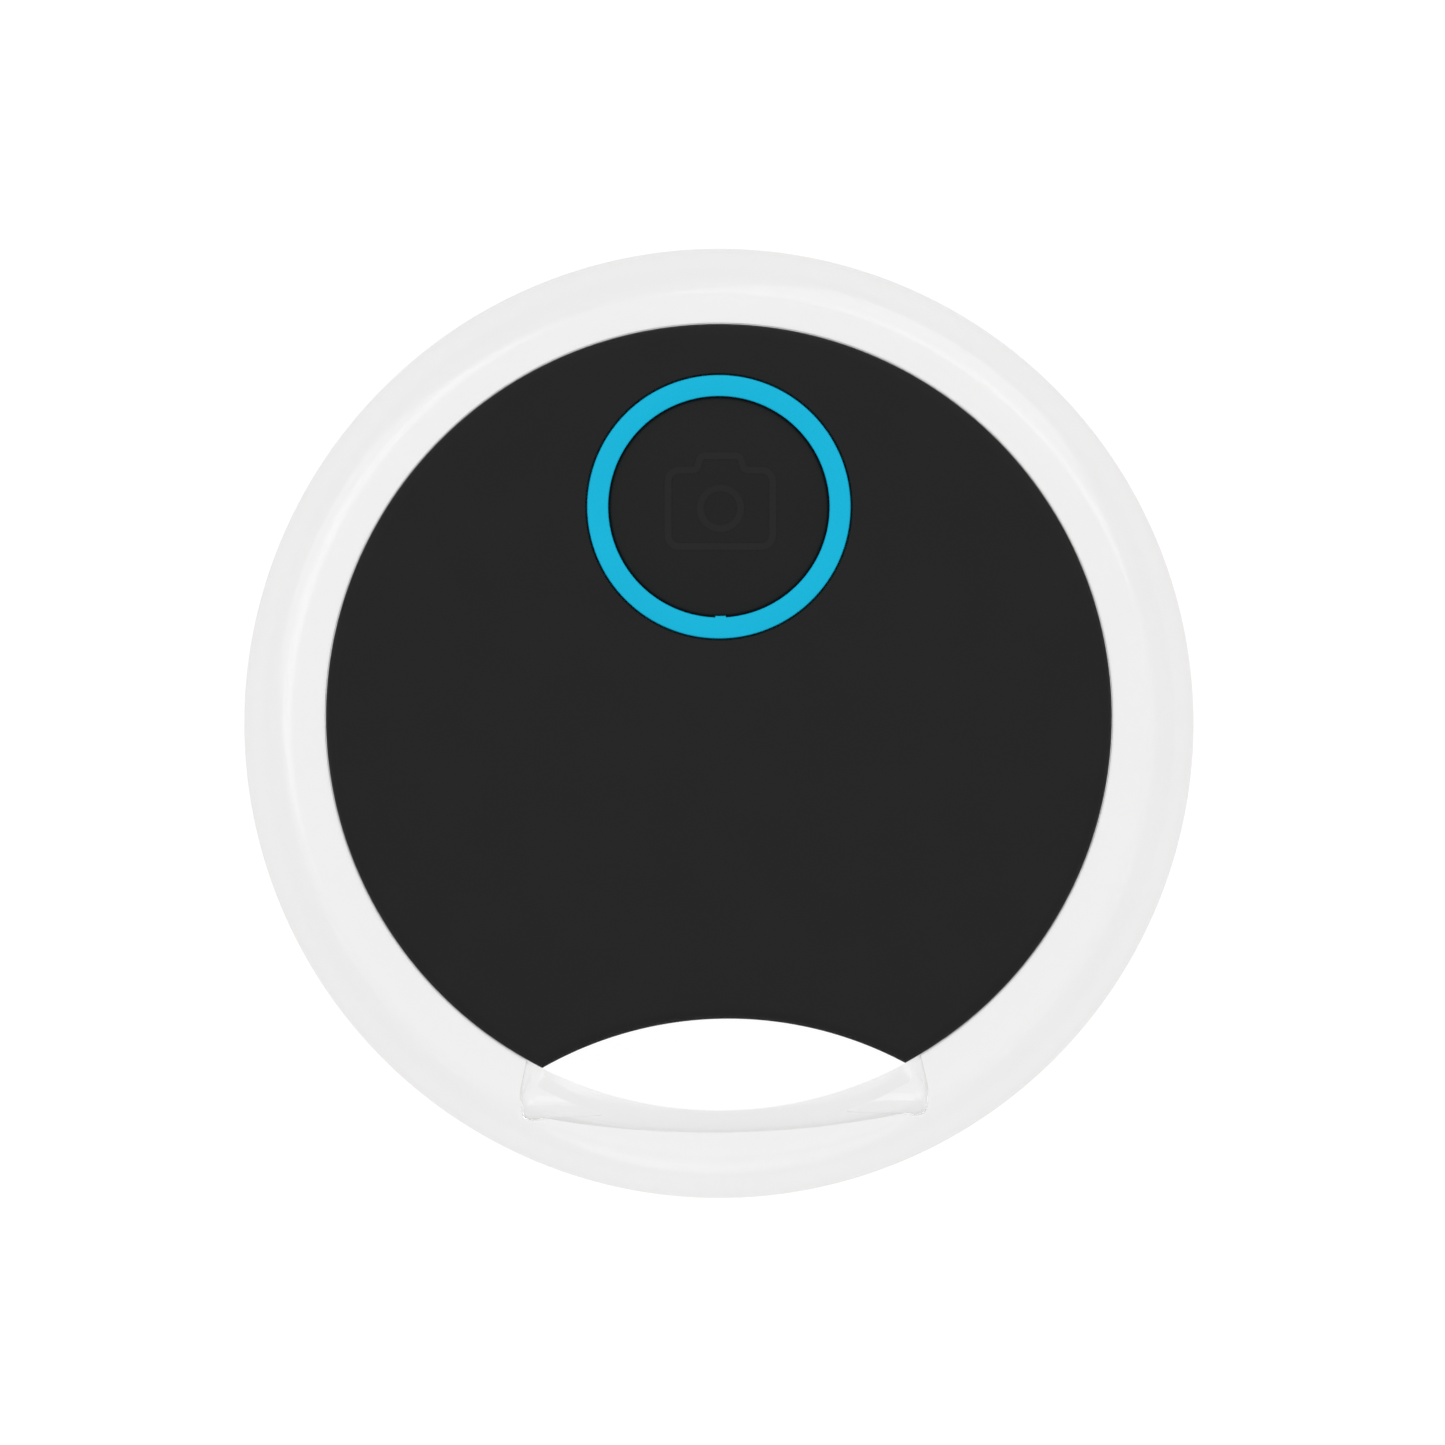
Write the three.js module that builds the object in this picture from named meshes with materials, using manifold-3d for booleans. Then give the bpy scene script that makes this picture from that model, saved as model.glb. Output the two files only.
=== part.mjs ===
// A round Bluetooth tracker tag: a black two-shell body in a clear ring, with a push button, a sounder and a coin cell.
// Sizes are in millimetres. +Z points out of the front face and +Y points away from the key loop. The origin is on the
// plane that the rear face rests on, at the centre of the clear ring.
import * as THREE from "three";
import { mergeVertices } from "three/addons/utils/BufferGeometryUtils.js";
import Module from "manifold-3d";

const wasm = await Module();
wasm.setup();

// Clear ring
const RING_R = 19;
const RING_LOW = 0.8;
const RING_HIGH = 7.2;
const RING_CROWN_R = 16.75;
const RING_CROWN_DROP = 0.04;
const RING_ROUNDNESS = 2.4;
const TONGUE_DEPTH = 1.25;
const TONGUE_LOW = 3.5;
const TONGUE_HIGH = 4.3;
const TONGUE_END = 33;

// Key loop: the half-moon notch in the body, and the relief scooped out of the front of the ring across it. The loop
// sits a little counter-clockwise of the button's axis.
const LOOP_TURN = 0.8;
const NOTCH_R = 15;
const NOTCH_Y = -26.8;
const SCOOP_BEND_R = 37.4;
const SCOOP_BEND_Y = 23.1;
const SCOOP_R = 2.2;
const SCOOP_RISE = 0.8;
const SCOOP_HALF_WIDTH = 7.9;
const DISH_BASE = new THREE.Vector3(7.95, -14.7, 6.9);
const DISH_TIP = new THREE.Vector3(4.9, -15.6, 6.45);
const DISH_R = 1.15;

// Body shells
const BODY_R = 15.7;
const BODY_Y = 0.26;
const BODY_HIGH = 8;
const EDGE_R = 0.45;
const WALL = 1.1;
const UPPER_WALL = 1.75;
const REAR_FLOOR = 1;
const REAR_TOP = 3.4;
const FRONT_LOW = 3.5;
const FRONT_INSIDE = 7.1;
const LEDGE_Z = 5.6;
const LIP_OUTER = 1.25;
const LIP_INNER = 1.65;
const LIP_HIGH = 5;

// Button, its bezel and its switch
const BUTTON_Y = 8.65;
const BUTTON_R = 4.3;
const BUTTON_HIGH = 7.9;
const BUTTON_FLANGE_R = 4.95;
const BUTTON_TOP_WALL = 0.8;
const BUTTON_TRAVEL = 0.25;
const BEZEL_R = 5.26;
const BEZEL_BORE = 4.42;
const BEZEL_HIGH = 8.1;
const BEZEL_LOW = 6.6;
const BEZEL_FLANGE_R = 6.1;

// Coin cell, its door and its cradle
const CELL_Y = 1.6;
const CELL_R = 10;
const CELL_LOW = 1.25;
const CELL_HEIGHT = 3.2;
const DOOR_R = 11.5;
const DOOR_LOW = 0.1;
const DOOR_INSIDE = 1.05;
const DOOR_RIM_R = 11.3;
const DOOR_RIM_HIGH = 1.6;
const LUG_R = 12.35;
const LUG_LOW = 1.15;
const LUG_WIDTH = 18;
const LUG_ANGLES = [0, 120, 240];
const UNLOCK_TURN = 30;
const CRADLE_BORE = 10.2;
const CRADLE_R = 10.75;

// Board
const BOARD_INSET = 2.05;
const BOARD_LOW = 4.85;
const BOARD_HIGH = 5.45;
const SOLDER = 0.05;
const SCREW_CIRCLE_R = 12.4;
const SCREW_ANGLES = [15, 165, 212, 328];
const SCREW_SHANK_R = 0.6;

// Sounder
const BUZZER_Y = -3.8;
const BUZZER_R = 6;

// General clearances and curve fineness
const GAP = 0.1;
const SEAL_GAP = 0.05;
const THROUGH = 0.5;
const ARC_STEP = 6;
const HIDDEN_ARC_STEP = 10;
const HIDDEN_STEPS = 36;
const MERGE_DISTANCE = 1e-4;
const DEGREE = Math.PI / 180;

// ---- Materials ----

function plastic(color, roughness) {
  return new THREE.MeshStandardMaterial({ color, roughness, metalness: 0 });
}

function metal(color, roughness) {
  return new THREE.MeshStandardMaterial({ color, roughness, metalness: 1 });
}

const clearPlastic = new THREE.MeshStandardMaterial({
  color: 0xf0f2f3,
  roughness: 0.08,
  metalness: 0,
  transparent: true,
  opacity: 0.35,
});
const blackPlastic = plastic(0x282828, 0.6);
const bluePlastic = plastic(0x1eb6db, 0.45);
const greyPlastic = plastic(0x4a4c4e, 0.7);
const silicone = plastic(0x3a3c3f, 0.8);
const chipEpoxy = plastic(0x1c1d1f, 0.5);
const boardResin = plastic(0x1f5a3a, 0.45);
const ceramic = plastic(0xe8e2d4, 0.6);
const ledResin = plastic(0xf4f1c8, 0.3);
const adhesive = plastic(0xf2f2ee, 0.9);
const steel = metal(0xb9bcc0, 0.35);
const brass = metal(0xc9a24b, 0.35);

// ---- Solids ----

// The solid of a closed three.js geometry.
function solidOf(geometry) {
  geometry.deleteAttribute("normal");
  geometry.deleteAttribute("uv");
  const merged = mergeVertices(geometry, MERGE_DISTANCE);
  const mesh = new wasm.Mesh({
    numProp: 3,
    vertProperties: merged.attributes.position.array,
    triVerts: new Uint32Array(merged.index.array),
  });
  return new wasm.Manifold(mesh);
}

// A named three.js mesh of a finished solid.
function piece(name, solid, material) {
  const { vertProperties, triVerts } = solid.getMesh();
  const geometry = new THREE.BufferGeometry();
  geometry.setAttribute("position", new THREE.BufferAttribute(vertProperties, 3));
  geometry.setIndex(new THREE.BufferAttribute(triVerts, 1));
  geometry.computeVertexNormals();
  const mesh = new THREE.Mesh(geometry, material);
  mesh.name = name;
  return mesh;
}

// Points along an arc, both ends included. Angles are in degrees, counter-clockwise from +X.
function arcPoints(r, from, to, x = 0, y = 0, step = ARC_STEP) {
  const count = Math.max(2, Math.ceil(Math.abs(to - from) / step));
  const points = [];
  for (let i = 0; i <= count; i += 1) {
    const angle = (from + ((to - from) * i) / count) * DEGREE;
    points.push(new THREE.Vector2(x + r * Math.cos(angle), y + r * Math.sin(angle)));
  }
  return points;
}

function prism(points, low, high) {
  const shape = new THREE.Shape(points);
  const geometry = new THREE.ExtrudeGeometry(shape, { depth: high - low, bevelEnabled: false });
  return solidOf(geometry.translate(0, 0, low));
}

function disc(r, low, high, x = 0, y = 0, step = ARC_STEP) {
  return prism(arcPoints(r, 0, 360 - step, x, y, step), low, high);
}

function tube(bore, r, low, high, step = ARC_STEP) {
  return disc(r, low, high, 0, 0, step).subtract(disc(bore, low - THROUGH, high + THROUGH, 0, 0, step));
}

// A stretch of a flat ring between two angles.
function ringSector(bore, r, from, to, low, high, y = 0) {
  const outline = [...arcPoints(r, from, to, 0, y), ...arcPoints(bore, to, from, 0, y)];
  return prism(outline, low, high);
}

function block(width, depth, low, high, x = 0, y = 0) {
  const geometry = new THREE.BoxGeometry(width, depth, high - low);
  return solidOf(geometry.translate(x, y, (low + high) / 2));
}

// A turned solid. The profile is a list of [radius, height], counter-clockwise, and starts and ends on the axis or closes.
function turned(profile, steps) {
  const points = profile.map(([r, z]) => new THREE.Vector2(r, z));
  return solidOf(new THREE.LatheGeometry(points, steps).rotateX(Math.PI / 2));
}

// A closed ring of the given section, turned about the axis.
function turnedRing(section, steps) {
  return turned([...section, section[0]], steps);
}

// ---- Body outline: a circle with the half-moon notch cut out of its lower edge ----

function bodyOutline(inset) {
  const r = BODY_R - inset;
  const notch = NOTCH_R + inset;
  const apart = BODY_Y - NOTCH_Y;
  const bodyHalf = Math.acos((r * r + apart * apart - notch * notch) / (2 * r * apart)) / DEGREE;
  const notchHalf = Math.acos((notch * notch + apart * apart - r * r) / (2 * notch * apart)) / DEGREE;
  const round = arcPoints(r, bodyHalf - 90, 270 - bodyHalf, 0, BODY_Y);
  const hollow = arcPoints(notch, 90 + notchHalf, 90 - notchHalf, 0, NOTCH_Y);
  const centre = new THREE.Vector2(0, BODY_Y);
  return [...round, ...hollow.slice(1, -1)].map((point) => point.rotateAround(centre, LOOP_TURN * DEGREE));
}

// The whole body with its rounded front and rear edges.
function bodyBlank() {
  const geometry = new THREE.ExtrudeGeometry(new THREE.Shape(bodyOutline(EDGE_R)), {
    depth: BODY_HIGH - 2 * EDGE_R,
    bevelThickness: EDGE_R,
    bevelSize: EDGE_R,
    bevelSegments: 3,
  });
  return solidOf(geometry.translate(0, 0, EDGE_R));
}

function bodySlice(low, high) {
  return bodyBlank().intersect(disc(2 * RING_R, low, high));
}

function outlineTube(outerInset, innerInset, low, high) {
  const hole = prism(bodyOutline(innerInset), low - THROUGH, high + THROUGH);
  return prism(bodyOutline(outerInset), low, high).subtract(hole);
}

// ---- Clear ring ----

// Height of the ring's front surface above its middle plane, at a distance from the axis.
function ringHeight(r) {
  const half = (RING_HIGH - RING_LOW) / 2;
  if (r < RING_CROWN_R) {
    return half - RING_CROWN_DROP * (RING_CROWN_R - r) ** 2;
  }
  const across = (r - RING_CROWN_R) / (RING_R - RING_CROWN_R);
  return half * (1 - across ** RING_ROUNDNESS) ** (1 / RING_ROUNDNESS);
}

function ringBlank() {
  const middle = (RING_HIGH + RING_LOW) / 2;
  const stations = [15, 16.2, RING_CROWN_R, 17.7, 18.4, 18.8];
  const lower = stations.map((r) => [r, middle - ringHeight(r)]);
  const upper = stations.map((r) => [r, middle + ringHeight(r)]).reverse();
  return turned([[0, lower[0][1]], ...lower, [RING_R, middle], ...upper, [0, upper[0][1]]], 72);
}

// The tool that scoops out the relief: a short stretch of a wide hoop, lying across the key loop.
function scoop(height) {
  const section = arcPoints(SCOOP_R, 0, 345, SCOOP_BEND_R, 0, 15).map(({ x, y }) => [x, y]);
  const hoop = turnedRing(section, 120).translate([0, SCOOP_BEND_Y, height]);
  const reach = block(2 * SCOOP_HALF_WIDTH, RING_R, height - 2 * SCOOP_R, height + 2 * SCOOP_R, 0, -RING_R);
  return hoop.intersect(reach).rotate([0, 0, LOOP_TURN]);
}

// The tool that dishes one end of the relief: a cone that lies along it and points at its middle.
function endDish(side) {
  const mirror = new THREE.Vector3(side, 1, 1);
  const base = DISH_BASE.clone().multiply(mirror);
  const axis = DISH_TIP.clone().multiply(mirror).sub(base);
  const upright = new THREE.Vector3(0, 1, 0);
  const lie = new THREE.Quaternion().setFromUnitVectors(upright, axis.clone().normalize());
  const middle = base.addScaledVector(axis, 0.5);
  const cone = new THREE.ConeGeometry(DISH_R, axis.length(), 24).applyQuaternion(lie);
  return solidOf(cone.translate(middle.x, middle.y, middle.z)).rotate([0, 0, LOOP_TURN]);
}

function clearRing() {
  const bore = disc(BODY_R + GAP, -THROUGH, BODY_HIGH, 0, BODY_Y);
  const tongue = ringSector(
    BODY_R + GAP - TONGUE_DEPTH,
    BODY_R + 2 * GAP,
    LOOP_TURN + TONGUE_END - 90,
    LOOP_TURN + 270 - TONGUE_END,
    TONGUE_LOW,
    TONGUE_HIGH,
    BODY_Y,
  );
  const ring = ringBlank()
    .subtract(bore)
    .add(tongue)
    .subtract(scoop(RING_HIGH + SCOOP_RISE))
    .subtract(endDish(-1))
    .subtract(endDish(1));
  return piece("clear_ring", ring, clearPlastic);
}

// ---- Shells ----

function screwPlaces() {
  return SCREW_ANGLES.map((angle) => ({
    x: SCREW_CIRCLE_R * Math.cos(angle * DEGREE),
    y: BODY_Y + SCREW_CIRCLE_R * Math.sin(angle * DEGREE),
  }));
}

function frontCover() {
  const bossR = 1.3;
  const bossLow = BOARD_HIGH + SOLDER;
  const holeR = SCREW_SHANK_R + GAP;
  const holeHigh = 6.9;
  const grooveEnd = TONGUE_END - 0.5;
  const groove = ringSector(
    BODY_R - WALL - GAP,
    BODY_R + THROUGH,
    LOOP_TURN + grooveEnd - 90,
    LOOP_TURN + 270 - grooveEnd,
    REAR_TOP,
    TONGUE_HIGH + GAP,
    BODY_Y,
  );
  let cover = bodySlice(FRONT_LOW, BODY_HIGH + THROUGH)
    .subtract(prism(bodyOutline(WALL), 0, LEDGE_Z))
    .subtract(prism(bodyOutline(UPPER_WALL), 0, FRONT_INSIDE))
    .subtract(groove)
    .subtract(disc(BEZEL_FLANGE_R + GAP, LEDGE_Z, FRONT_INSIDE, 0, BUTTON_Y))
    .subtract(disc(BEZEL_R + GAP, FRONT_INSIDE - THROUGH, BODY_HIGH + THROUGH, 0, BUTTON_Y));
  for (const { x, y } of screwPlaces()) {
    const boss = disc(bossR, bossLow, FRONT_INSIDE + SEAL_GAP, x, y, 24);
    const hole = disc(holeR, bossLow - THROUGH, holeHigh, x, y, 30);
    cover = cover.add(boss).subtract(hole);
  }
  return piece("front_cover", cover, blackPlastic);
}

function rearCover() {
  const mouth = disc(DOOR_R + 1.5 * GAP, -THROUGH, REAR_FLOOR + THROUGH, 0, CELL_Y);
  let cover = bodySlice(-THROUGH, REAR_TOP)
    .subtract(prism(bodyOutline(WALL), REAR_FLOOR, BODY_HIGH))
    .add(outlineTube(WALL - GAP, LIP_INNER, REAR_FLOOR - THROUGH, REAR_TOP))
    .add(outlineTube(LIP_OUTER, LIP_INNER, REAR_TOP - THROUGH, LIP_HIGH))
    .subtract(mouth);
  for (const angle of LUG_ANGLES) {
    const middle = angle - UNLOCK_TURN;
    const half = LUG_WIDTH / 2 + 3;
    const entry = ringSector(
      DOOR_R - 1,
      LUG_R + 1.5 * GAP,
      middle - half,
      middle + half,
      -THROUGH,
      REAR_FLOOR + THROUGH,
      CELL_Y,
    );
    cover = cover.subtract(entry);
  }
  return piece("rear_cover", cover, blackPlastic);
}

function housingSeal() {
  const ring = outlineTube(LIP_OUTER - SEAL_GAP, LIP_INNER, LIP_HIGH + SEAL_GAP, LEDGE_Z - SEAL_GAP);
  return piece("housing_seal", ring, silicone);
}

// ---- Button ----

function buttonBezel() {
  const ring = tube(BEZEL_BORE, BEZEL_R, BEZEL_LOW, BEZEL_HIGH);
  const flange = tube(BEZEL_BORE, BEZEL_FLANGE_R, BEZEL_LOW, FRONT_INSIDE - GAP);
  return piece("button_bezel", ring.add(flange), bluePlastic);
}

function buttonCap() {
  const flangeLow = 6.1;
  const flangeHigh = BEZEL_LOW - GAP;
  const skirtWall = 0.45;
  const stemR = 0.9;
  const stemLow = 6.05;
  const insideHigh = BUTTON_HIGH - BUTTON_TOP_WALL;
  const cap = disc(BUTTON_R, flangeLow, BUTTON_HIGH)
    .add(disc(BUTTON_FLANGE_R, flangeLow, flangeHigh))
    .subtract(disc(BUTTON_R - skirtWall, flangeLow - THROUGH, insideHigh))
    .add(disc(stemR, stemLow, insideHigh + GAP, 0, 0, 24));
  return piece("button_cap", cap, blackPlastic);
}

function buttonSeal() {
  const low = 6;
  const ring = tube(BUTTON_FLANGE_R + 1.5 * GAP, BEZEL_FLANGE_R, low, BEZEL_LOW - GAP, HIDDEN_ARC_STEP);
  return piece("button_seal", ring, silicone);
}

const SWITCH_FLOOR = BOARD_HIGH + SOLDER;
const PLUNGER_HIGH = 6;
const PLUNGER_LOW = SWITCH_FLOOR + SEAL_GAP / 2 + BUTTON_TRAVEL;

function switchBody() {
  const width = 3.8;
  const depth = 3.2;
  const wellR = 1.35;
  const frame = block(width, depth, SWITCH_FLOOR, PLUNGER_HIGH - GAP);
  const well = disc(wellR, SWITCH_FLOOR - THROUGH, PLUNGER_HIGH, 0, 0, 15);
  return piece("switch_body", frame.subtract(well), greyPlastic);
}

function switchDome() {
  const skin = 0.06;
  const r = 1.2;
  const rise = PLUNGER_LOW - SWITCH_FLOOR - SOLDER;
  const outer = [];
  const inner = [];
  const stations = 5;
  for (let i = 0; i <= stations; i += 1) {
    const across = i / stations;
    outer.push([r * (1 - across), SWITCH_FLOOR + skin + (rise - skin) * (1 - (1 - across) ** 2)]);
    inner.push([r * across, SWITCH_FLOOR + (rise - skin) * (1 - across ** 2)]);
  }
  return piece("switch_dome", turned([...inner, ...outer], 20), steel);
}

function switchPlunger() {
  const r = 0.8;
  return piece("switch_plunger", disc(r, PLUNGER_LOW, PLUNGER_HIGH, 0, 0, 20), greyPlastic);
}

// ---- Battery ----

function batteryCan() {
  const high = CELL_LOW + CELL_HEIGHT;
  const section = [
    [0, CELL_LOW],
    [CELL_R - 0.2, CELL_LOW],
    [CELL_R, CELL_LOW + 0.2],
    [CELL_R, high - 0.35],
    [CELL_R - 0.25, high - 0.15],
    [CELL_R - 0.7, high - 0.15],
    [CELL_R - 0.7, high - 0.3],
    [CELL_R - 0.3, high - 0.4],
    [CELL_R - 0.3, CELL_LOW + 0.25],
    [0, CELL_LOW + 0.25],
  ];
  return piece("battery_can", turned(section, HIDDEN_STEPS), steel);
}

function batteryGasket() {
  const high = CELL_LOW + CELL_HEIGHT;
  const section = [
    [CELL_R - 0.7, CELL_LOW + 0.35],
    [CELL_R - 0.4, CELL_LOW + 0.35],
    [CELL_R - 0.4, high - 0.5],
    [CELL_R - 0.8, high - 0.35],
    [CELL_R - 0.8, high - 0.15],
    [CELL_R - 1, high - 0.15],
    [CELL_R - 1, high - 0.6],
    [CELL_R - 0.7, high - 0.75],
  ];
  return piece("battery_gasket", turnedRing(section, HIDDEN_STEPS), greyPlastic);
}

function batteryNegativeCap() {
  const high = CELL_LOW + CELL_HEIGHT;
  const section = [
    [0, CELL_LOW + 0.35],
    [CELL_R - 0.8, CELL_LOW + 0.35],
    [CELL_R - 0.8, high - 0.85],
    [CELL_R - 1.1, high - 0.7],
    [CELL_R - 1.1, high - 0.1],
    [CELL_R - 1.2, high],
    [0, high],
  ];
  return piece("battery_negative_cap", turned(section, HIDDEN_STEPS), steel);
}

function batteryCradle() {
  const low = 2.1;
  const windowLow = 2.6;
  const windowDepth = 2.6;
  const window = block(2, windowDepth, windowLow, BOARD_LOW, -CRADLE_R, 0);
  const frame = tube(CRADLE_BORE, CRADLE_R, low, BOARD_LOW - SOLDER, HIDDEN_ARC_STEP).subtract(window);
  return piece("battery_cradle", frame, greyPlastic);
}

// A bent strip of spring metal that touches the side of the cell and is soldered to the board.
function positiveContact() {
  const top = BOARD_LOW - SOLDER;
  const skin = 0.15;
  const width = 2.2;
  const low = 2.8;
  const near = CELL_R + GAP;
  const far = 11;
  const blade = block(skin, width, low, top, -near - skin / 2, 0);
  const foot = block(far - near, width, top - skin, top, -(far + near) / 2, 0);
  return piece("positive_contact", blade.add(foot), brass);
}

// A leaf spring under the board, bowed down towards the middle of the cell.
function negativeContact() {
  const skin = 0.12;
  const top = BOARD_LOW - SOLDER;
  const outline = [
    new THREE.Vector2(-5, top - skin),
    new THREE.Vector2(-2, top - skin),
    new THREE.Vector2(1.6, top - 0.3),
    new THREE.Vector2(2.6, top - 0.2),
    new THREE.Vector2(2.6, top - 0.2 + skin),
    new THREE.Vector2(1.6, top - 0.3 + skin),
    new THREE.Vector2(-2, top),
    new THREE.Vector2(-5, top),
  ];
  const width = 3;
  const geometry = new THREE.ExtrudeGeometry(new THREE.Shape(outline), { depth: width, bevelEnabled: false });
  geometry.rotateX(Math.PI / 2).translate(0, width / 2, 0);
  return piece("negative_contact", solidOf(geometry), brass);
}

function batteryDoor() {
  const slotLength = 9;
  const slotWidth = 1.7;
  const slotDepth = 0.5;
  const rimBore = 10.45;
  const slot = block(slotLength, slotWidth, -THROUGH, DOOR_LOW + slotDepth);
  let door = disc(DOOR_R, DOOR_LOW, DOOR_INSIDE)
    .add(tube(rimBore, DOOR_RIM_R, DOOR_INSIDE - GAP, DOOR_RIM_HIGH))
    .subtract(slot);
  for (const angle of LUG_ANGLES) {
    const half = LUG_WIDTH / 2;
    door = door.add(ringSector(DOOR_RIM_R - 0.5, LUG_R, angle - half, angle + half, LUG_LOW, DOOR_RIM_HIGH));
  }
  return piece("battery_door", door, blackPlastic);
}

function doorSeal() {
  const cordR = 0.2;
  const ringR = 10.85;
  const height = DOOR_RIM_HIGH + cordR + SEAL_GAP;
  const section = arcPoints(cordR, 0, 300, ringR, height, 60).map(({ x, y }) => [x, y]);
  return piece("door_seal", turnedRing(section, HIDDEN_STEPS), silicone);
}

// ---- Board and what is soldered to it ----

function circuitBoard() {
  let board = prism(bodyOutline(BOARD_INSET), BOARD_LOW, BOARD_HIGH);
  for (const { x, y } of screwPlaces()) {
    board = board.subtract(disc(SCREW_SHANK_R + 1.5 * GAP, BOARD_LOW - THROUGH, BOARD_HIGH + THROUGH, x, y, 30));
  }
  return piece("circuit_board", board, boardResin);
}

function boardScrews() {
  return screwPlaces().map(({ x, y }, index) => {
    const headR = 0.85;
    const headLow = 4.15;
    const headHigh = BOARD_LOW - SOLDER;
    const tip = 6.7;
    const head = disc(headR, headLow, headHigh, 0, 0, 30).subtract(block(1.1, 0.25, 4, headLow + 0.3));
    const shank = disc(SCREW_SHANK_R, headHigh - GAP, tip, 0, 0, 30);
    const screw = piece(`board_screw_${index + 1}`, head.add(shank), steel);
    screw.position.set(x, y, 0);
    return screw;
  });
}

// A soldered part with its narrow end caps or leads left plain.
function soldered(name, [width, depth, height], [x, y], material, turn = 0) {
  const low = BOARD_HIGH + SOLDER;
  const part = piece(name, block(width, depth, low, low + height), material);
  part.position.set(x, y, 0);
  part.rotation.z = turn * DEGREE;
  return part;
}

function solderedParts() {
  const capacitorSize = [1, 0.5, 0.5];
  const capacitorPlaces = [[-4.2, 0.6], [-6.4, 0.6], [-8.9, -1.6], [5, 0.8]];
  const ledSize = [0.8, 1.6, 0.4];
  const ledX = 5.7;
  return [
    soldered("radio_chip", [4, 4, 0.6], [6.6, -4.3], chipEpoxy),
    soldered("crystal_main", [2, 1.6, 0.45], [7.5, -1.2], steel),
    soldered("crystal_clock", [1.6, 1, 0.45], [10.6, -1.2], steel),
    soldered("chip_antenna", [3.2, 1.6, 0.6], [9, 7.6], ceramic, -50),
    soldered("power_inductor", [2, 1.6, 0.9], [-7.8, -5], chipEpoxy),
    ...capacitorPlaces.map((place, index) =>
      soldered(`capacitor_${index + 1}`, capacitorSize, place, ceramic),
    ),
    soldered("status_led_1", ledSize, [-ledX, BUTTON_Y], ledResin),
    soldered("status_led_2", ledSize, [ledX, BUTTON_Y], ledResin),
  ];
}

// ---- Sounder on the inside of the front cover ----

function sounder() {
  const adhesiveBore = 5.2;
  const adhesiveLow = 6.9;
  const plateLow = 6.72;
  const plateHigh = 6.87;
  const ceramicR = 4.5;
  const ceramicLow = 6.55;
  const ceramicHigh = 6.69;
  const pinR = 0.4;
  const pinLow = BOARD_HIGH + SOLDER;
  const edgePinX = -5.3;
  const centrePin = piece("buzzer_pin_1", disc(pinR, pinLow, ceramicLow - 0.05, 0, 0, 30), brass);
  const edgePin = piece("buzzer_pin_2", disc(pinR, pinLow, plateLow - 0.04, 0, 0, 30), brass);
  edgePin.position.x = edgePinX;
  const adhesiveRing = tube(adhesiveBore, BUZZER_R, adhesiveLow, FRONT_INSIDE - SEAL_GAP, HIDDEN_ARC_STEP);
  const group = new THREE.Group();
  group.position.y = BUZZER_Y;
  group.add(
    piece("buzzer_adhesive", adhesiveRing, adhesive),
    piece("buzzer_plate", disc(BUZZER_R, plateLow, plateHigh, 0, 0, HIDDEN_ARC_STEP), brass),
    piece("buzzer_ceramic", disc(ceramicR, ceramicLow, ceramicHigh, 0, 0, HIDDEN_ARC_STEP), ceramic),
    centrePin,
    edgePin,
  );
  return group;
}

// ---- Assembly ----

const buttonGroup = new THREE.Group();
buttonGroup.position.y = BUTTON_Y;
buttonGroup.add(buttonBezel(), buttonCap(), buttonSeal(), switchBody(), switchDome(), switchPlunger());

const batteryGroup = new THREE.Group();
batteryGroup.position.y = CELL_Y;
batteryGroup.add(
  batteryCan(),
  batteryGasket(),
  batteryNegativeCap(),
  batteryCradle(),
  positiveContact(),
  negativeContact(),
  batteryDoor(),
  doorSeal(),
);

const boardGroup = new THREE.Group();
boardGroup.add(circuitBoard(), ...boardScrews(), ...solderedParts());

const tag = new THREE.Group();
tag.add(clearRing(), frontCover(), rearCover(), housingSeal(), buttonGroup, batteryGroup, boardGroup, sounder());

export default tag;
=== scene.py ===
"""Looks of a round wireless tracker tag.

A black body of two shells sits in a clear ring, with a push button in a blue bezel and a battery door
at the rear. Sizes are in millimetres until a helper hands them to Blender. +Z leaves the front face, and
+Y points away from the key loop.
"""
import logging
import math
from collections.abc import Callable, Sequence
from dataclasses import dataclass
from enum import Enum

import bmesh
import bpy
from mathutils import Matrix, Vector


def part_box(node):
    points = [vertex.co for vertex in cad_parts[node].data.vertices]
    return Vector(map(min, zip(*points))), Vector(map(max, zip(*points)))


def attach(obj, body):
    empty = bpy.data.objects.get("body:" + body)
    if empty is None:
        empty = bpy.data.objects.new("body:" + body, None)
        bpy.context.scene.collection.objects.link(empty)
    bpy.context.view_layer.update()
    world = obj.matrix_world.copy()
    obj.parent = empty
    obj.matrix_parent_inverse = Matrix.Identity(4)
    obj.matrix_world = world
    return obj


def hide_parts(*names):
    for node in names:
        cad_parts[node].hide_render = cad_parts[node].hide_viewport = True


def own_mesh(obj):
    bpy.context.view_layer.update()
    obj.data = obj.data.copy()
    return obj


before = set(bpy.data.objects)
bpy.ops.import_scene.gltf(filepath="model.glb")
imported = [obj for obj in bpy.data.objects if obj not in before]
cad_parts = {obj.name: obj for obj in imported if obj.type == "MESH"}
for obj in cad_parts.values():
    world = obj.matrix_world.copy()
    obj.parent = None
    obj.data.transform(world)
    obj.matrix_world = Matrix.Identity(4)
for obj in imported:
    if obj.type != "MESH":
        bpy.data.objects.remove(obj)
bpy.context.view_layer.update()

MM = 0.001
MERGE = 0.0001  # corners this close are one corner
SEAM = 0.0015  # corners this close are one corner in a finished piece
TOUCH = 0.01  # a corner this close to a place lies on it
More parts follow.
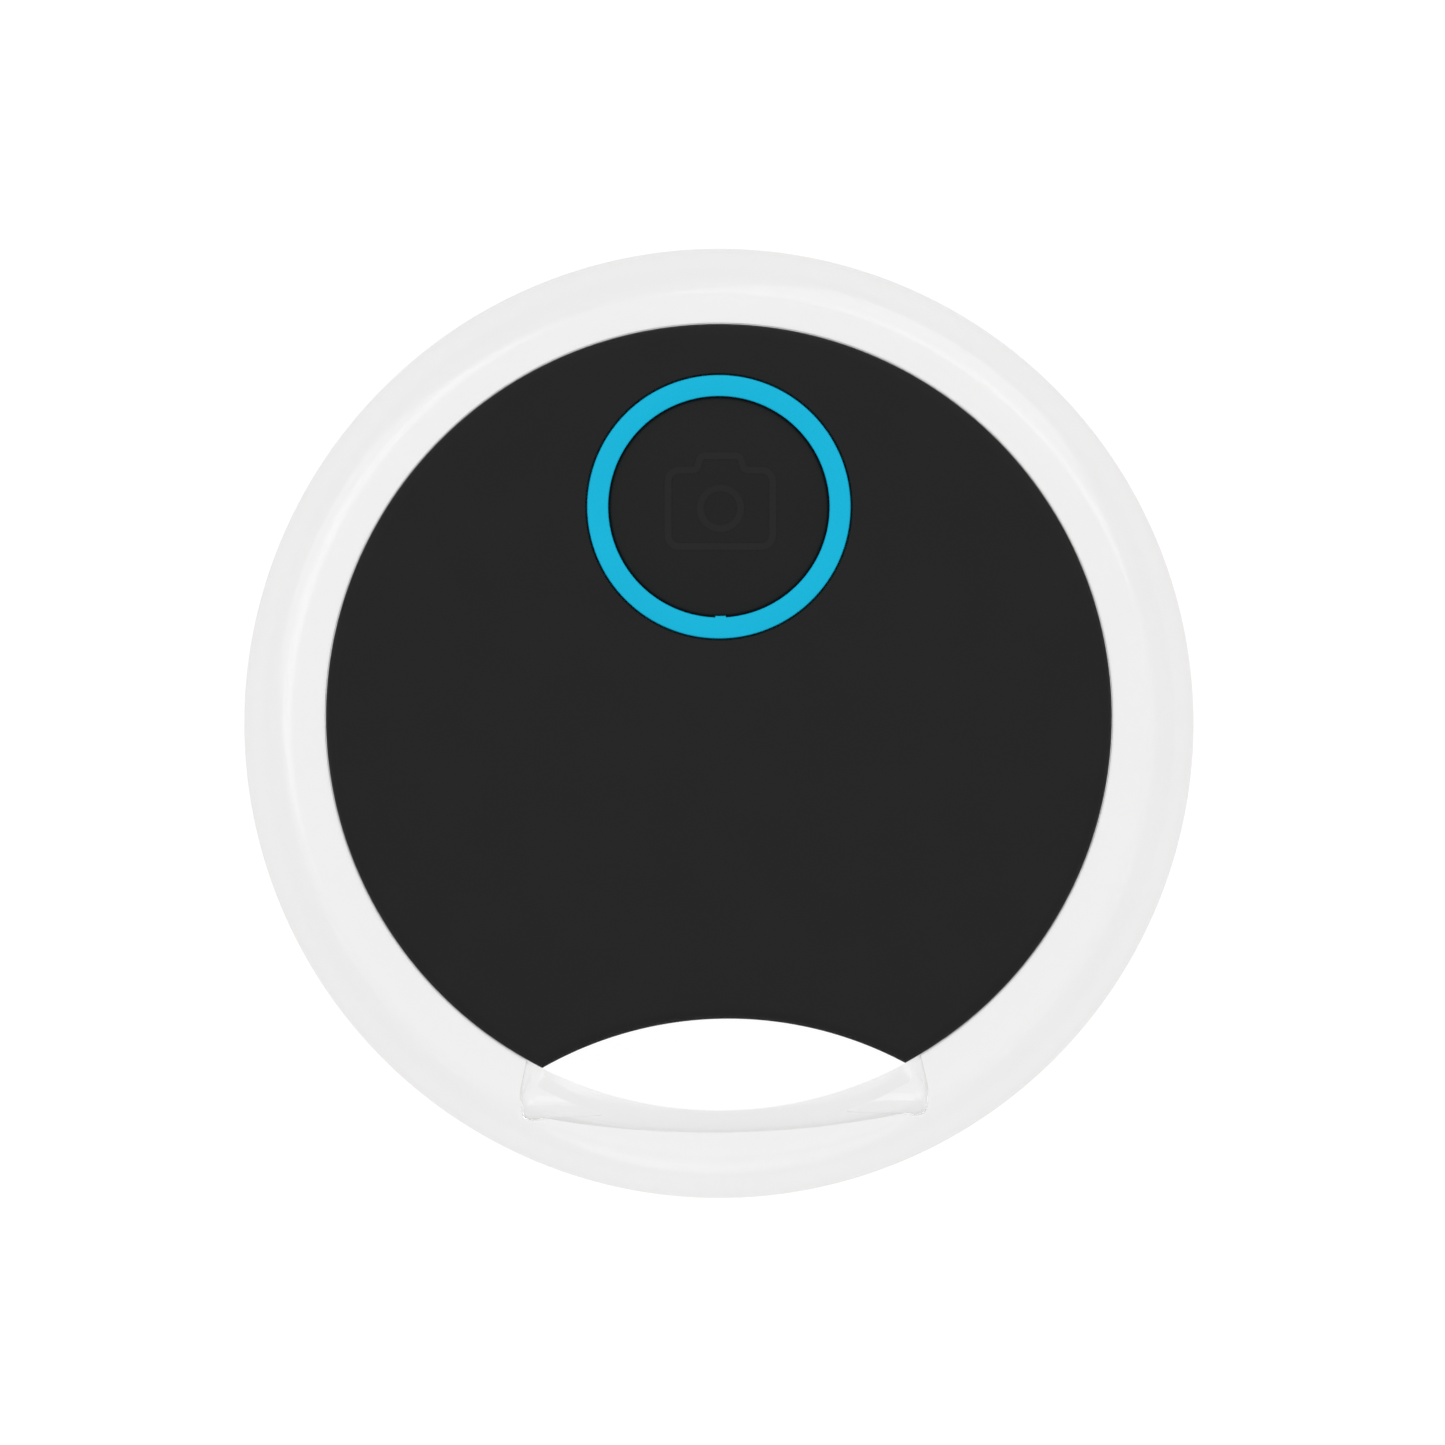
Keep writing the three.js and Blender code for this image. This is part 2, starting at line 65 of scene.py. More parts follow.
OVERCUT = 1.0  # how far a cutter stands out of what it cuts
SECTOR_STEP = 2.0  # degrees of a ring sector that one straight stretch spans
SECTOR_LEAST = 6  # stretches in the shortest ring sector
SMOOTH_ANGLE = math.radians(35)
LOG = logging.getLogger("tag")

Colour = tuple[float, float, float]
Place = tuple[float, float]
Spot = tuple[float, float, float]
Section = Sequence[Place]
Test = Callable[[Vector], bool]


def arc(hub: Place, r: float, start: float, end: float, facets: int) -> list[Place]:
    """Draws an arc.

    Args:
        hub: its centre.
        r: its radius.
        start: angle where it starts, in degrees.
        end: angle where it ends.
        facets: number of straight stretches along it.

    Returns:
        Its points, both ends among them.
    """
    turns = [math.radians(start + (end - start) * i / facets) for i in range(facets + 1)]
    return [(hub[0] + r * math.cos(turn), hub[1] + r * math.sin(turn)) for turn in turns]


# ---------------------------------------------------------------- hand tools


class Kind(Enum):
    """What a pick in edit mode takes hold of."""

    VERT = (True, False, False)
    EDGE = (False, True, False)
    FACE = (False, False, True)


class Join(Enum):
    """How a tool acts on a workpiece."""

    CUT = "DIFFERENCE"
    ADD = "UNION"


class Bench:
    """The hand operations that every piece is made with."""

    @staticmethod
    def take(obj: bpy.types.Object) -> bpy.types.Object:
        """Makes obj the only selected object and the active one.

        Args:
            obj: the workpiece.

        Returns:
            The same object.
        """
        bpy.ops.object.select_all(action="DESELECT")
        obj.select_set(True)
        bpy.context.view_layer.objects.active = obj
        return obj

    @staticmethod
    def edit(obj: bpy.types.Object) -> None:
        """Opens obj in edit mode with nothing selected.

        Args:
            obj: the workpiece.
        """
        Bench.take(obj)
        bpy.context.tool_settings.mesh_select_mode = Kind.VERT.value
        bpy.ops.object.mode_set(mode="EDIT")
        bpy.ops.mesh.select_all(action="DESELECT")

    @staticmethod
    def leave() -> None:
        """Goes back to object mode."""
        bpy.ops.object.mode_set(mode="OBJECT")

    @staticmethod
    def pick(obj: bpy.types.Object, kind: Kind, test: Test) -> None:
        """Selects what passes a test at every one of its corners.

        Args:
            obj: the workpiece, in edit mode.
            kind: vertices, edges or faces.
            test: takes a corner's place in millimetres.
        """
        bpy.context.tool_settings.mesh_select_mode = kind.value
        mesh = bmesh.from_edit_mesh(obj.data)
        sets = {Kind.VERT: mesh.verts, Kind.EDGE: mesh.edges, Kind.FACE: mesh.faces}
        for element in sets[kind]:
            corners = [element] if kind is Kind.VERT else element.verts
            element.select_set(all(test(corner.co / MM) for corner in corners))
        mesh.select_flush_mode()
        bmesh.update_edit_mesh(obj.data)

    @staticmethod
    def tidy(obj: bpy.types.Object) -> bpy.types.Object:
        """Puts the place into the mesh, closes seams and points every face outwards.

        Args:
            obj: the workpiece.

        Returns:
            The same object.
        """
        Bench.take(obj)
        bpy.ops.object.transform_apply(location=True, rotation=True, scale=True)
        Bench.edit(obj)
        bpy.ops.mesh.select_all(action="SELECT")
        bpy.ops.mesh.remove_doubles(threshold=MERGE * MM)
        bpy.ops.mesh.normals_make_consistent(inside=False)
        Bench.leave()
        return obj

    @staticmethod
    def cylinder(
        r: float, low: float, high: float, centre: Place = (0, 0), sides: int = 96
    ) -> bpy.types.Object:
        """Adds an upright cylinder.

        Args:
            r: its radius.
            low: height of its lower face.
            high: height of its upper face.
            centre: place of its axis.
            sides: number of sides.

        Returns:
            The new object, with its place in its mesh.
        """
        place = (centre[0] * MM, centre[1] * MM, (low + high) / 2 * MM)
        depth = (high - low) * MM
        bpy.ops.mesh.primitive_cylinder_add(vertices=sides, radius=r * MM, depth=depth, location=place)
        return Bench.tidy(bpy.context.object)

    @staticmethod
    def block(size: Place, low: float, high: float, centre: Place = (0, 0)) -> bpy.types.Object:
        """Adds an upright block.

        Args:
            size: its width and depth.
            low: height of its lower face.
            high: height of its upper face.
            centre: place of its middle.

        Returns:
            The new object, with its place in its mesh.
        """
        bpy.ops.mesh.primitive_cube_add(
            size=1,
            location=(centre[0] * MM, centre[1] * MM, (low + high) / 2 * MM),
            scale=(size[0] * MM, size[1] * MM, (high - low) * MM),
        )
        return Bench.tidy(bpy.context.object)

    @staticmethod
    def turned(section: Section, centre: Place = (0, 0), steps: int = 192) -> bpy.types.Object:
        """Draws a section point by point and turns it about an upright axis.

        Args:
            section: radius and height of each point. It starts and ends on the axis, or it ends where
                it starts.
            centre: place of the axis.
            steps: number of steps in the turn.

        Returns:
            The new closed object.
        """
        first = Vector((section[0][0] + centre[0], centre[1], section[0][1])) * MM
        bpy.ops.mesh.primitive_plane_add(size=MM, location=first)
        obj = bpy.context.object
        Bench.edit(obj)
        bpy.ops.mesh.select_all(action="SELECT")
        bpy.ops.mesh.merge(type="CENTER")
        for (r0, z0), (r1, z1) in zip(section, section[1:]):
            step = ((r1 - r0) * MM, 0, (z1 - z0) * MM)
            bpy.ops.mesh.extrude_vertices_move(TRANSFORM_OT_translate={"value": step})
        bpy.ops.mesh.select_all(action="SELECT")
        bpy.ops.mesh.spin(
            steps=steps,
            angle=math.tau,
            center=(centre[0] * MM, centre[1] * MM, 0),
            axis=(0, 0, 1),
        )
        Bench.leave()
        return Bench.tidy(obj)

    @staticmethod
    def close_disc(obj: bpy.types.Object, height: float) -> None:
        """Joins the faces of a flat disc into one.

        Args:
            obj: the workpiece.
            height: height of the disc.
        """
        Bench.edit(obj)
        Bench.pick(obj, Kind.FACE, lambda place: abs(place.z - height) < SEAM)
        bpy.ops.mesh.dissolve_faces()
        Bench.leave()

    @staticmethod
    def swept(
        outline: bpy.types.Object, centre: Sequence[float], degrees: float, steps: int
    ) -> bpy.types.Object:
        """Sweeps a flat filled outline about an upright axis into a closed solid.

        Args:
            outline: a flat object with one face, at the start of the sweep.
            centre: a point on the axis.
            degrees: how far it goes, counter-clockwise.
            steps: number of steps.

        Returns:
            The same object, now a solid.
        """
        Bench.edit(outline)
        bpy.ops.mesh.select_all(action="SELECT")
        bpy.ops.mesh.spin(
            steps=steps,
            angle=-math.radians(degrees),
            center=[value * MM for value in centre],
            axis=(0, 0, 1),
        )
        Bench.leave()
        return Bench.tidy(outline)

    @staticmethod
    def ring_sector(
        bore: float, r: float, start: float, end: float, low: float, high: float, centre: Place = (0, 0)
    ) -> bpy.types.Object:
        """Makes a stretch of a flat ring.

        Args:
            bore: its inner radius.
            r: its outer radius.
            start: angle where it starts, in degrees from +X.
            end: angle where it ends.
            low: height of its lower face.
            high: height of its upper face.
            centre: place of its axis.

        Returns:
            The new solid.
        """
        angle = math.radians(start)
        middle = (bore + r) / 2
        x, y = centre[0] + middle * math.cos(angle), centre[1] + middle * math.sin(angle)
        bpy.ops.mesh.primitive_plane_add(
            size=1,
            location=[value * MM for value in (x, y, (low + high) / 2)],
            rotation=(math.pi / 2, 0, angle),
        )
        outline = bpy.context.object
        Bench.take(outline)
        outline.scale = ((r - bore) * MM, (high - low) * MM, 1)
        bpy.ops.object.transform_apply(location=True, rotation=True, scale=True)
        steps = max(SECTOR_LEAST, round((end - start) / SECTOR_STEP))
        return Bench.swept(outline, (*centre, 0), end - start, steps)

    @staticmethod
    def combine(obj: bpy.types.Object, tool: bpy.types.Object, how: Join) -> None:
        """Cuts a tool's shape out of the workpiece, or joins it on, and puts the tool away.

        Args:
            obj: the workpiece.
            tool: the solid that cuts or is added.
            how: cut or add.
        """
        Bench.take(obj)
        bpy.ops.object.modifier_add(type="BOOLEAN")
        modifier = obj.modifiers[-1]
        modifier.operation = how.value
        modifier.solver = "EXACT"
        modifier.object = tool
        bpy.ops.object.modifier_apply(modifier=modifier.name)
        bpy.data.objects.remove(tool, do_unlink=True)

    @staticmethod
    def round_edges(obj: bpy.types.Object, test: Test, size: float, segments: int) -> None:
        """Rounds over the edges whose two ends pass a test.

        Args:
            obj: the workpiece.
            test: takes a corner's place in millimetres.
            size: radius of the round.
            segments: number of facets over the round.
        """
        Bench.edit(obj)
        Bench.pick(obj, Kind.EDGE, test)
        bpy.ops.mesh.bevel(offset=size * MM, segments=segments, profile=0.5, affect="EDGES")
        Bench.leave()

    @staticmethod
    def smooth(obj: bpy.types.Object) -> None:
        """Shades obj smooth over its rounds and keeps its flats flat.

        Args:
            obj: the finished solid.
        """
        Bench.take(obj)
        bpy.ops.object.shade_smooth_by_angle(angle=SMOOTH_ANGLE)
        bpy.ops.object.modifier_add(type="WEIGHTED_NORMAL")
        modifier = obj.modifiers[-1]
        modifier.keep_sharp = True
        bpy.ops.object.modifier_apply(modifier=modifier.name)


# ---------------------------------------------------------------- finishes


class Graph:
    """A material's node graph, with short calls for what the finishes share."""

    def __init__(self, name: str) -> None:
        """Starts an empty graph with its shader and output.

        Args:
            name: the material's name.
        """
        self.material = bpy.data.materials.new(name)
        self.material.use_nodes = True
        self.tree = self.material.node_tree
        self.tree.nodes.clear()
        self.shader = self.add("ShaderNodeBsdfPrincipled")
        output = self.add("ShaderNodeOutputMaterial")
        self.join(self.shader.outputs["BSDF"], output.inputs["Surface"])
        self.place = self.add("ShaderNodeTexCoord").outputs["Object"]

    def add(self, kind: str, **settings: float | str | bool) -> bpy.types.Node:
        """Adds a node.

        Args:
            kind: the node's Blender type.
            **settings: its own properties, or its input sockets with spaces as underscores.

        Returns:
            The new node.
        """
        node = self.tree.nodes.new(kind)
        for key, value in settings.items():
            if hasattr(node, key):
                setattr(node, key, value)
            else:
                node.inputs[key.replace("_", " ")].default_value = value
        return node

    def join(self, source: bpy.types.NodeSocket, target: bpy.types.NodeSocket) -> None:
        """Links one socket to another."""
        self.tree.links.new(source, target)

    def set(self, **values: float | tuple) -> None:
        """Sets the shader's own sockets, named with underscores for spaces."""
        for key, value in values.items():
            self.shader.inputs[key.replace("_", " ")].default_value = value

    def noise(self, size: float, detail: float = 3, stretch: tuple = (1, 1, 1)) -> bpy.types.NodeSocket:
        """Adds a noise whose features measure size millimetres.

        Args:
            size: feature size.
            detail: layers of finer noise.
            stretch: how much the pattern is squeezed along X, Y and Z.

        Returns:
            The noise's value socket.
        """
        mapping = self.add("ShaderNodeMapping")
        mapping.inputs["Scale"].default_value = stretch
        self.join(self.place, mapping.inputs["Vector"])
        texture = self.add("ShaderNodeTexNoise", Scale=1 / (size * MM), Detail=detail)
        self.join(mapping.outputs["Vector"], texture.inputs["Vector"])
        return texture.outputs["Fac"]

    def spread(self, value: bpy.types.NodeSocket, low: float, high: float) -> bpy.types.NodeSocket:
        """Maps a noise value to a range.

        Args:
            value: the noise.
            low: result where the noise is low.
            high: result where it is high.

        Returns:
            The mapped socket.
        """
        ranged = self.add("ShaderNodeMapRange", From_Min=0.3, From_Max=0.7, To_Min=low, To_Max=high)
        self.join(value, ranged.inputs["Value"])
        return ranged.outputs["Result"]

    def tint(self, value: bpy.types.NodeSocket, first: Colour, second: Colour) -> bpy.types.NodeSocket:
        """Blends two colours by a noise.

        Args:
            value: the noise.
            first: colour where it is low.
            second: colour where it is high.

        Returns:
            The colour socket.
        """
        mix = self.add("ShaderNodeMix", data_type="RGBA")
        self.join(self.spread(value, 0, 1), mix.inputs[0])
        mix.inputs[6].default_value = (*first, 1)
        mix.inputs[7].default_value = (*second, 1)
        return mix.outputs[2]

    def relief(self, value: bpy.types.NodeSocket, depth: float, strength: float = 1) -> None:
        """Gives the surface a fine relief.

        Args:
            value: the height pattern.
            depth: its height in millimetres.
            strength: how much of it shows.
        """
        bump = self.add("ShaderNodeBump", Strength=strength, Distance=depth * MM)
        self.join(value, bump.inputs["Height"])
        self.join(bump.outputs["Normal"], self.shader.inputs["Normal"])


def shade(colour: Colour, by: float) -> Colour:
    """Returns the colour made lighter or darker by a factor."""
    return tuple(min(1.0, channel * by) for channel in colour)


@dataclass(frozen=True)
class Moulded:
    """Injection-moulded plastic with a fine spark-eroded grain."""

    name: str
    colour: Colour
    roughness: float = 0.55
    specular: float = 0.5
    grain: float = 0.09
    grain_depth: float = 0.002
    flow: float = 2.4
    mottle: float = 0.04
    swing: float = 0.05

    def make(self) -> bpy.types.Material:
        """Builds the material.

        Returns:
            The new material.
        """
        graph = Graph(self.name)
        flow = graph.noise(self.flow, detail=2)
        grain = graph.noise(self.grain, detail=4)
        low, high = shade(self.colour, 1 - self.mottle), shade(self.colour, 1 + self.mottle)
        graph.join(graph.tint(flow, low, high), graph.shader.inputs["Base Color"])
        roughness = graph.spread(grain, self.roughness - self.swing, self.roughness + self.swing)
        graph.join(roughness, graph.shader.inputs["Roughness"])
        graph.set(Specular_IOR_Level=self.specular)
        graph.relief(grain, self.grain_depth)
        return graph.material


@dataclass(frozen=True)
class Clear:
    """Clear polished plastic with faint flow marks from moulding, under a glossy skin, with a painted dark
    warm shade along the edges that turn away from the view.
    """

    name: str
    colour: Colour = (0.852, 0.852, 0.852)
    streak: Colour = (0.85, 0.842, 0.842)
    # The next two fields set a painted dark warm shade in the base colour where the surface turns away from
    # the view, standing in for the dark refraction line along the ring's outline.
    edge: Colour = (0.2, 0.16, 0.15)
    edge_shade_power: float = 5.0
    ior: float = 1.12
    gloss_ior: float = 1.5
    roughness: float = 0.03
    gloss_roughness: float = 0.17
    haze: float = 1.2
    haze_share: float = 0.2
    flow: float = 3.5
    flow_depth: float = 0.002

    def make(self) -> bpy.types.Material:
        """Builds the material.

        Returns:
            The new material.
        """
        graph = Graph(self.name)
        flow = graph.noise(self.flow, detail=2, stretch=(1, 1, 0.5))
        haze = graph.noise(self.haze, detail=3)
        # Painted shade: the base colour turns to the dark edge colour where the surface turns away from the
        # view, and the glossy skin thins there.
        tilt = graph.add("ShaderNodeLayerWeight", Blend=0.5)
        grazing_shade = graph.add("ShaderNodeMath", operation="POWER")
        grazing_shade.inputs[1].default_value = self.edge_shade_power
        graph.join(tilt.outputs["Facing"], grazing_shade.inputs[0])
        mix = graph.add("ShaderNodeMix", data_type="RGBA")
        graph.join(grazing_shade.outputs["Value"], mix.inputs[0])
        graph.join(graph.tint(flow, self.streak, self.colour), mix.inputs[6])
        mix.inputs[7].default_value = (*self.edge, 1)
        graph.join(mix.outputs[2], graph.shader.inputs["Base Color"])
        low, high = (self.gloss_roughness * (1 + share) for share in (-self.haze_share, self.haze_share))
        graph.join(graph.spread(haze, low, high), graph.shader.inputs["Coat Roughness"])
        facing = graph.add("ShaderNodeMath", operation="SUBTRACT")
        facing.inputs[0].default_value = 1
        graph.join(grazing_shade.outputs["Value"], facing.inputs[1])
        graph.join(facing.outputs["Value"], graph.shader.inputs["Coat Weight"])
        graph.set(Transmission_Weight=1.0, IOR=self.ior, Roughness=self.roughness, Coat_IOR=self.gloss_ior)
        graph.relief(flow, self.flow_depth)
        return graph.material


@dataclass(frozen=True)
class Plated:
    """Plated or rolled sheet metal with fine rolling lines."""

    name: str
    colour: Colour
    roughness: float = 0.3
    smoother: float = 0.08
    rougher: float = 0.1
    line: float = 0.05
    line_depth: float = 0.001
    stain: float = 1.5
    stain_shade: float = 0.88

    def make(self) -> bpy.types.Material:
        """Builds the material.

        Returns:
            The new material.
        """
        graph = Graph(self.name)
        lines = graph.noise(self.line, detail=2, stretch=(1, 0.04, 1))
        stain = graph.noise(self.stain, detail=3)
        colour = graph.tint(stain, shade(self.colour, self.stain_shade), self.colour)
        roughness = graph.spread(lines, self.roughness - self.smoother, self.roughness + self.rougher)
        graph.join(colour, graph.shader.inputs["Base Color"])
        graph.join(roughness, graph.shader.inputs["Roughness"])
        graph.set(Metallic=1.0)
        graph.relief(lines, self.line_depth)
        return graph.material


@dataclass(frozen=True)
class Silicone:
    """Soft moulded silicone with a dusty bloom."""

    name: str
    colour: Colour
    roughness: float = 0.75
    swing: float = 0.08
    bloom: float = 0.6
    bloom_shade: float = 1.5
    grain: float = 0.04
    grain_depth: float = 0.002

    def make(self) -> bpy.types.Material:
        """Builds the material.

        Returns:
            The new material.
        """
        graph = Graph(self.name)
        bloom = graph.noise(self.bloom, detail=5)
        colour = graph.tint(bloom, self.colour, shade(self.colour, self.bloom_shade))
        roughness = graph.spread(bloom, self.roughness - self.swing, self.roughness + self.swing)
        graph.join(colour, graph.shader.inputs["Base Color"])
        graph.join(roughness, graph.shader.inputs["Roughness"])
        graph.relief(graph.noise(self.grain, detail=3), self.grain_depth)
        return graph.material


@dataclass(frozen=True)
class BoardMask:
    """Green solder mask over copper traces."""

    name: str
    mask: Colour = (0.013, 0.1, 0.042)
    trace: Colour = (0.03, 0.2, 0.08)
    pitch: float = 0.9
    trace_width: float = 0.04
    trace_depth: float = 0.02
    weave: float = 0.15
    smooth: float = 0.3
    rough: float = 0.42

    def make(self) -> bpy.types.Material:
        """Builds the material.

        Returns:
            The new material.
        """
        graph = Graph(self.name)
        scale = 1 / (self.pitch * MM)
        bricks = graph.add(
            "ShaderNodeTexBrick", Scale=scale, Mortar_Size=self.trace_width, Mortar_Smooth=0.3
        )
        graph.join(graph.place, bricks.inputs["Vector"])
        weave = graph.noise(self.weave, detail=2)
        mix = graph.add("ShaderNodeMix", data_type="RGBA")
        graph.join(bricks.outputs["Fac"], mix.inputs[0])
        graph.join(graph.tint(weave, shade(self.mask, 0.9), shade(self.mask, 1.1)), mix.inputs[6])
        mix.inputs[7].default_value = (*self.trace, 1)
        graph.join(mix.outputs[2], graph.shader.inputs["Base Color"])
        graph.join(graph.spread(weave, self.smooth, self.rough), graph.shader.inputs["Roughness"])
        graph.relief(bricks.outputs["Fac"], self.trace_depth, strength=0.5)
        return graph.material


@dataclass(frozen=True)
class Granular:
    """Fired ceramic, potting resin or foam, with a speckle of its own grain."""

    name: str
    colour: Colour
    roughness: float = 0.5
    swing: float = 0.06
    speck: float = 0.06
    speck_depth: float = 0.003
    contrast: float = 0.12

    def make(self) -> bpy.types.Material:
        """Builds the material.

        Returns:
            The new material.
        """
        graph = Graph(self.name)
        specks = graph.noise(self.speck, detail=3)
        low, high = shade(self.colour, 1 - self.contrast), shade(self.colour, 1 + self.contrast)
        roughness = graph.spread(specks, self.roughness - self.swing, self.roughness + self.swing)
        graph.join(graph.tint(specks, low, high), graph.shader.inputs["Base Color"])
        graph.join(roughness, graph.shader.inputs["Roughness"])
        graph.relief(specks, self.speck_depth)
        return graph.material


# ---------------------------------------------------------------- sub-assemblies


@dataclass(frozen=True)
class Piece:
    """What a finished piece is called and where it belongs."""

    name: str
    body: str
    replaced: str
    slot: str

    def hand_over(self, obj: bpy.types.Object, material: bpy.types.Material) -> bpy.types.Object:
        """Dresses a finished solid, puts it on its body and reports it.

        Args:
            obj: the solid.
            material: its finish.

        Returns:
            The same object.
        """
        Bench.edit(obj)
        bpy.ops.mesh.select_all(action="SELECT")
        bpy.ops.mesh.remove_doubles(threshold=SEAM * MM)
        Bench.leave()
        obj.name = self.name
        obj.data.name = self.name
        obj.data.materials.clear()
        obj.data.materials.append(material)
        Bench.smooth(obj)
        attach(obj, self.body)
        if self.replaced:
            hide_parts(self.replaced)
        LOG.info("%s: %d faces on %s", self.name, len(obj.data.polygons), self.body)
        return obj


@dataclass
class BodyOutline:
    """The body seen from the front: a circle with the half-moon notch cut out of its lower edge."""

    r: float = 15.7
    centre_y: float = 0.26
    notch_r: float = 15.0
    notch_y: float = -26.8
    loop_turn: float = 0.8
    sides: int = 256
    notch_sides: int = 320
    edge_steps: int = 8

    def rounded_side(self, r: float, low: float, high: float, edges: Place, way: int) -> list[Place]:
        """Draws the side of a solid from its front edge to its rear edge, with both edges rounded over.

        Args:
            r: radius of the side.
            low: height of the rear face.
            high: height of the front face.
            edges: radii of the rear and front edges, 0 for a sharp one.
            way: 1 if the edges draw the radius in, -1 if they let it out.

        Returns:
            Radius and height of each point.
        """
        rear, front = edges
        turns = [math.pi / 2 * i / self.edge_steps for i in range(self.edge_steps + 1)]
        over = [
            (r - way * front * (1 - math.sin(turn)), high - front * (1 - math.cos(turn)))
            for turn in (turns if front else turns[-1:])
        ]
        under = [
            (r - way * rear * (1 - math.cos(turn)), low + rear * (1 - math.sin(turn)))
            for turn in (turns if rear else turns[:1])
        ]
        return [*over, *under]

    def notch_centre(self) -> Place:
        """Returns the centre of the notch's arc, turned about the body's centre with the key loop."""
        apart, turn = self.centre_y - self.notch_y, math.radians(self.loop_turn)
        return (apart * math.sin(turn), self.centre_y - apart * math.cos(turn))

    def blank(self, inset: float, low: float, high: float, edges: Place = (0, 0)) -> bpy.types.Object:
        """Makes a solid of the outline, drawn in by an inset.

        Args:
            inset: how far the outline is drawn in.
            low: height of its lower face.
            high: height of its upper face.
            edges: radii that its rear and front edges are rounded to.

        Returns:
            The new solid.
        """
        side = self.rounded_side(self.r - inset, low, high, edges, 1)
        obj = Bench.turned([(0, high), *side, (0, low)], (0, self.centre_y), self.sides)
        side = self.rounded_side(self.notch_r + inset, low, high, edges, -1)
        above, below = high + OVERCUT, low - OVERCUT
        flank = [(0, above), (side[0][0], above), *side, (side[-1][0], below), (0, below)]
        notch = Bench.turned(flank, self.notch_centre(), self.notch_sides)
        for solid, heights in ((obj, (high, low)), (notch, (above, below))):
            for height in heights:
                Bench.close_disc(solid, height)
        Bench.combine(obj, notch, Join.CUT)
        return obj

    def hollow(self, obj: bpy.types.Object, inset: float, low: float, high: float) -> None:
        """Cuts a drawn-in copy of the outline out of a workpiece.

        Args:
            obj: the workpiece.
            inset: how far the copy is drawn in.
            low: height of its lower face.
            high: height of its upper face.
        """
        Bench.combine(obj, self.blank(inset, low, high), Join.CUT)


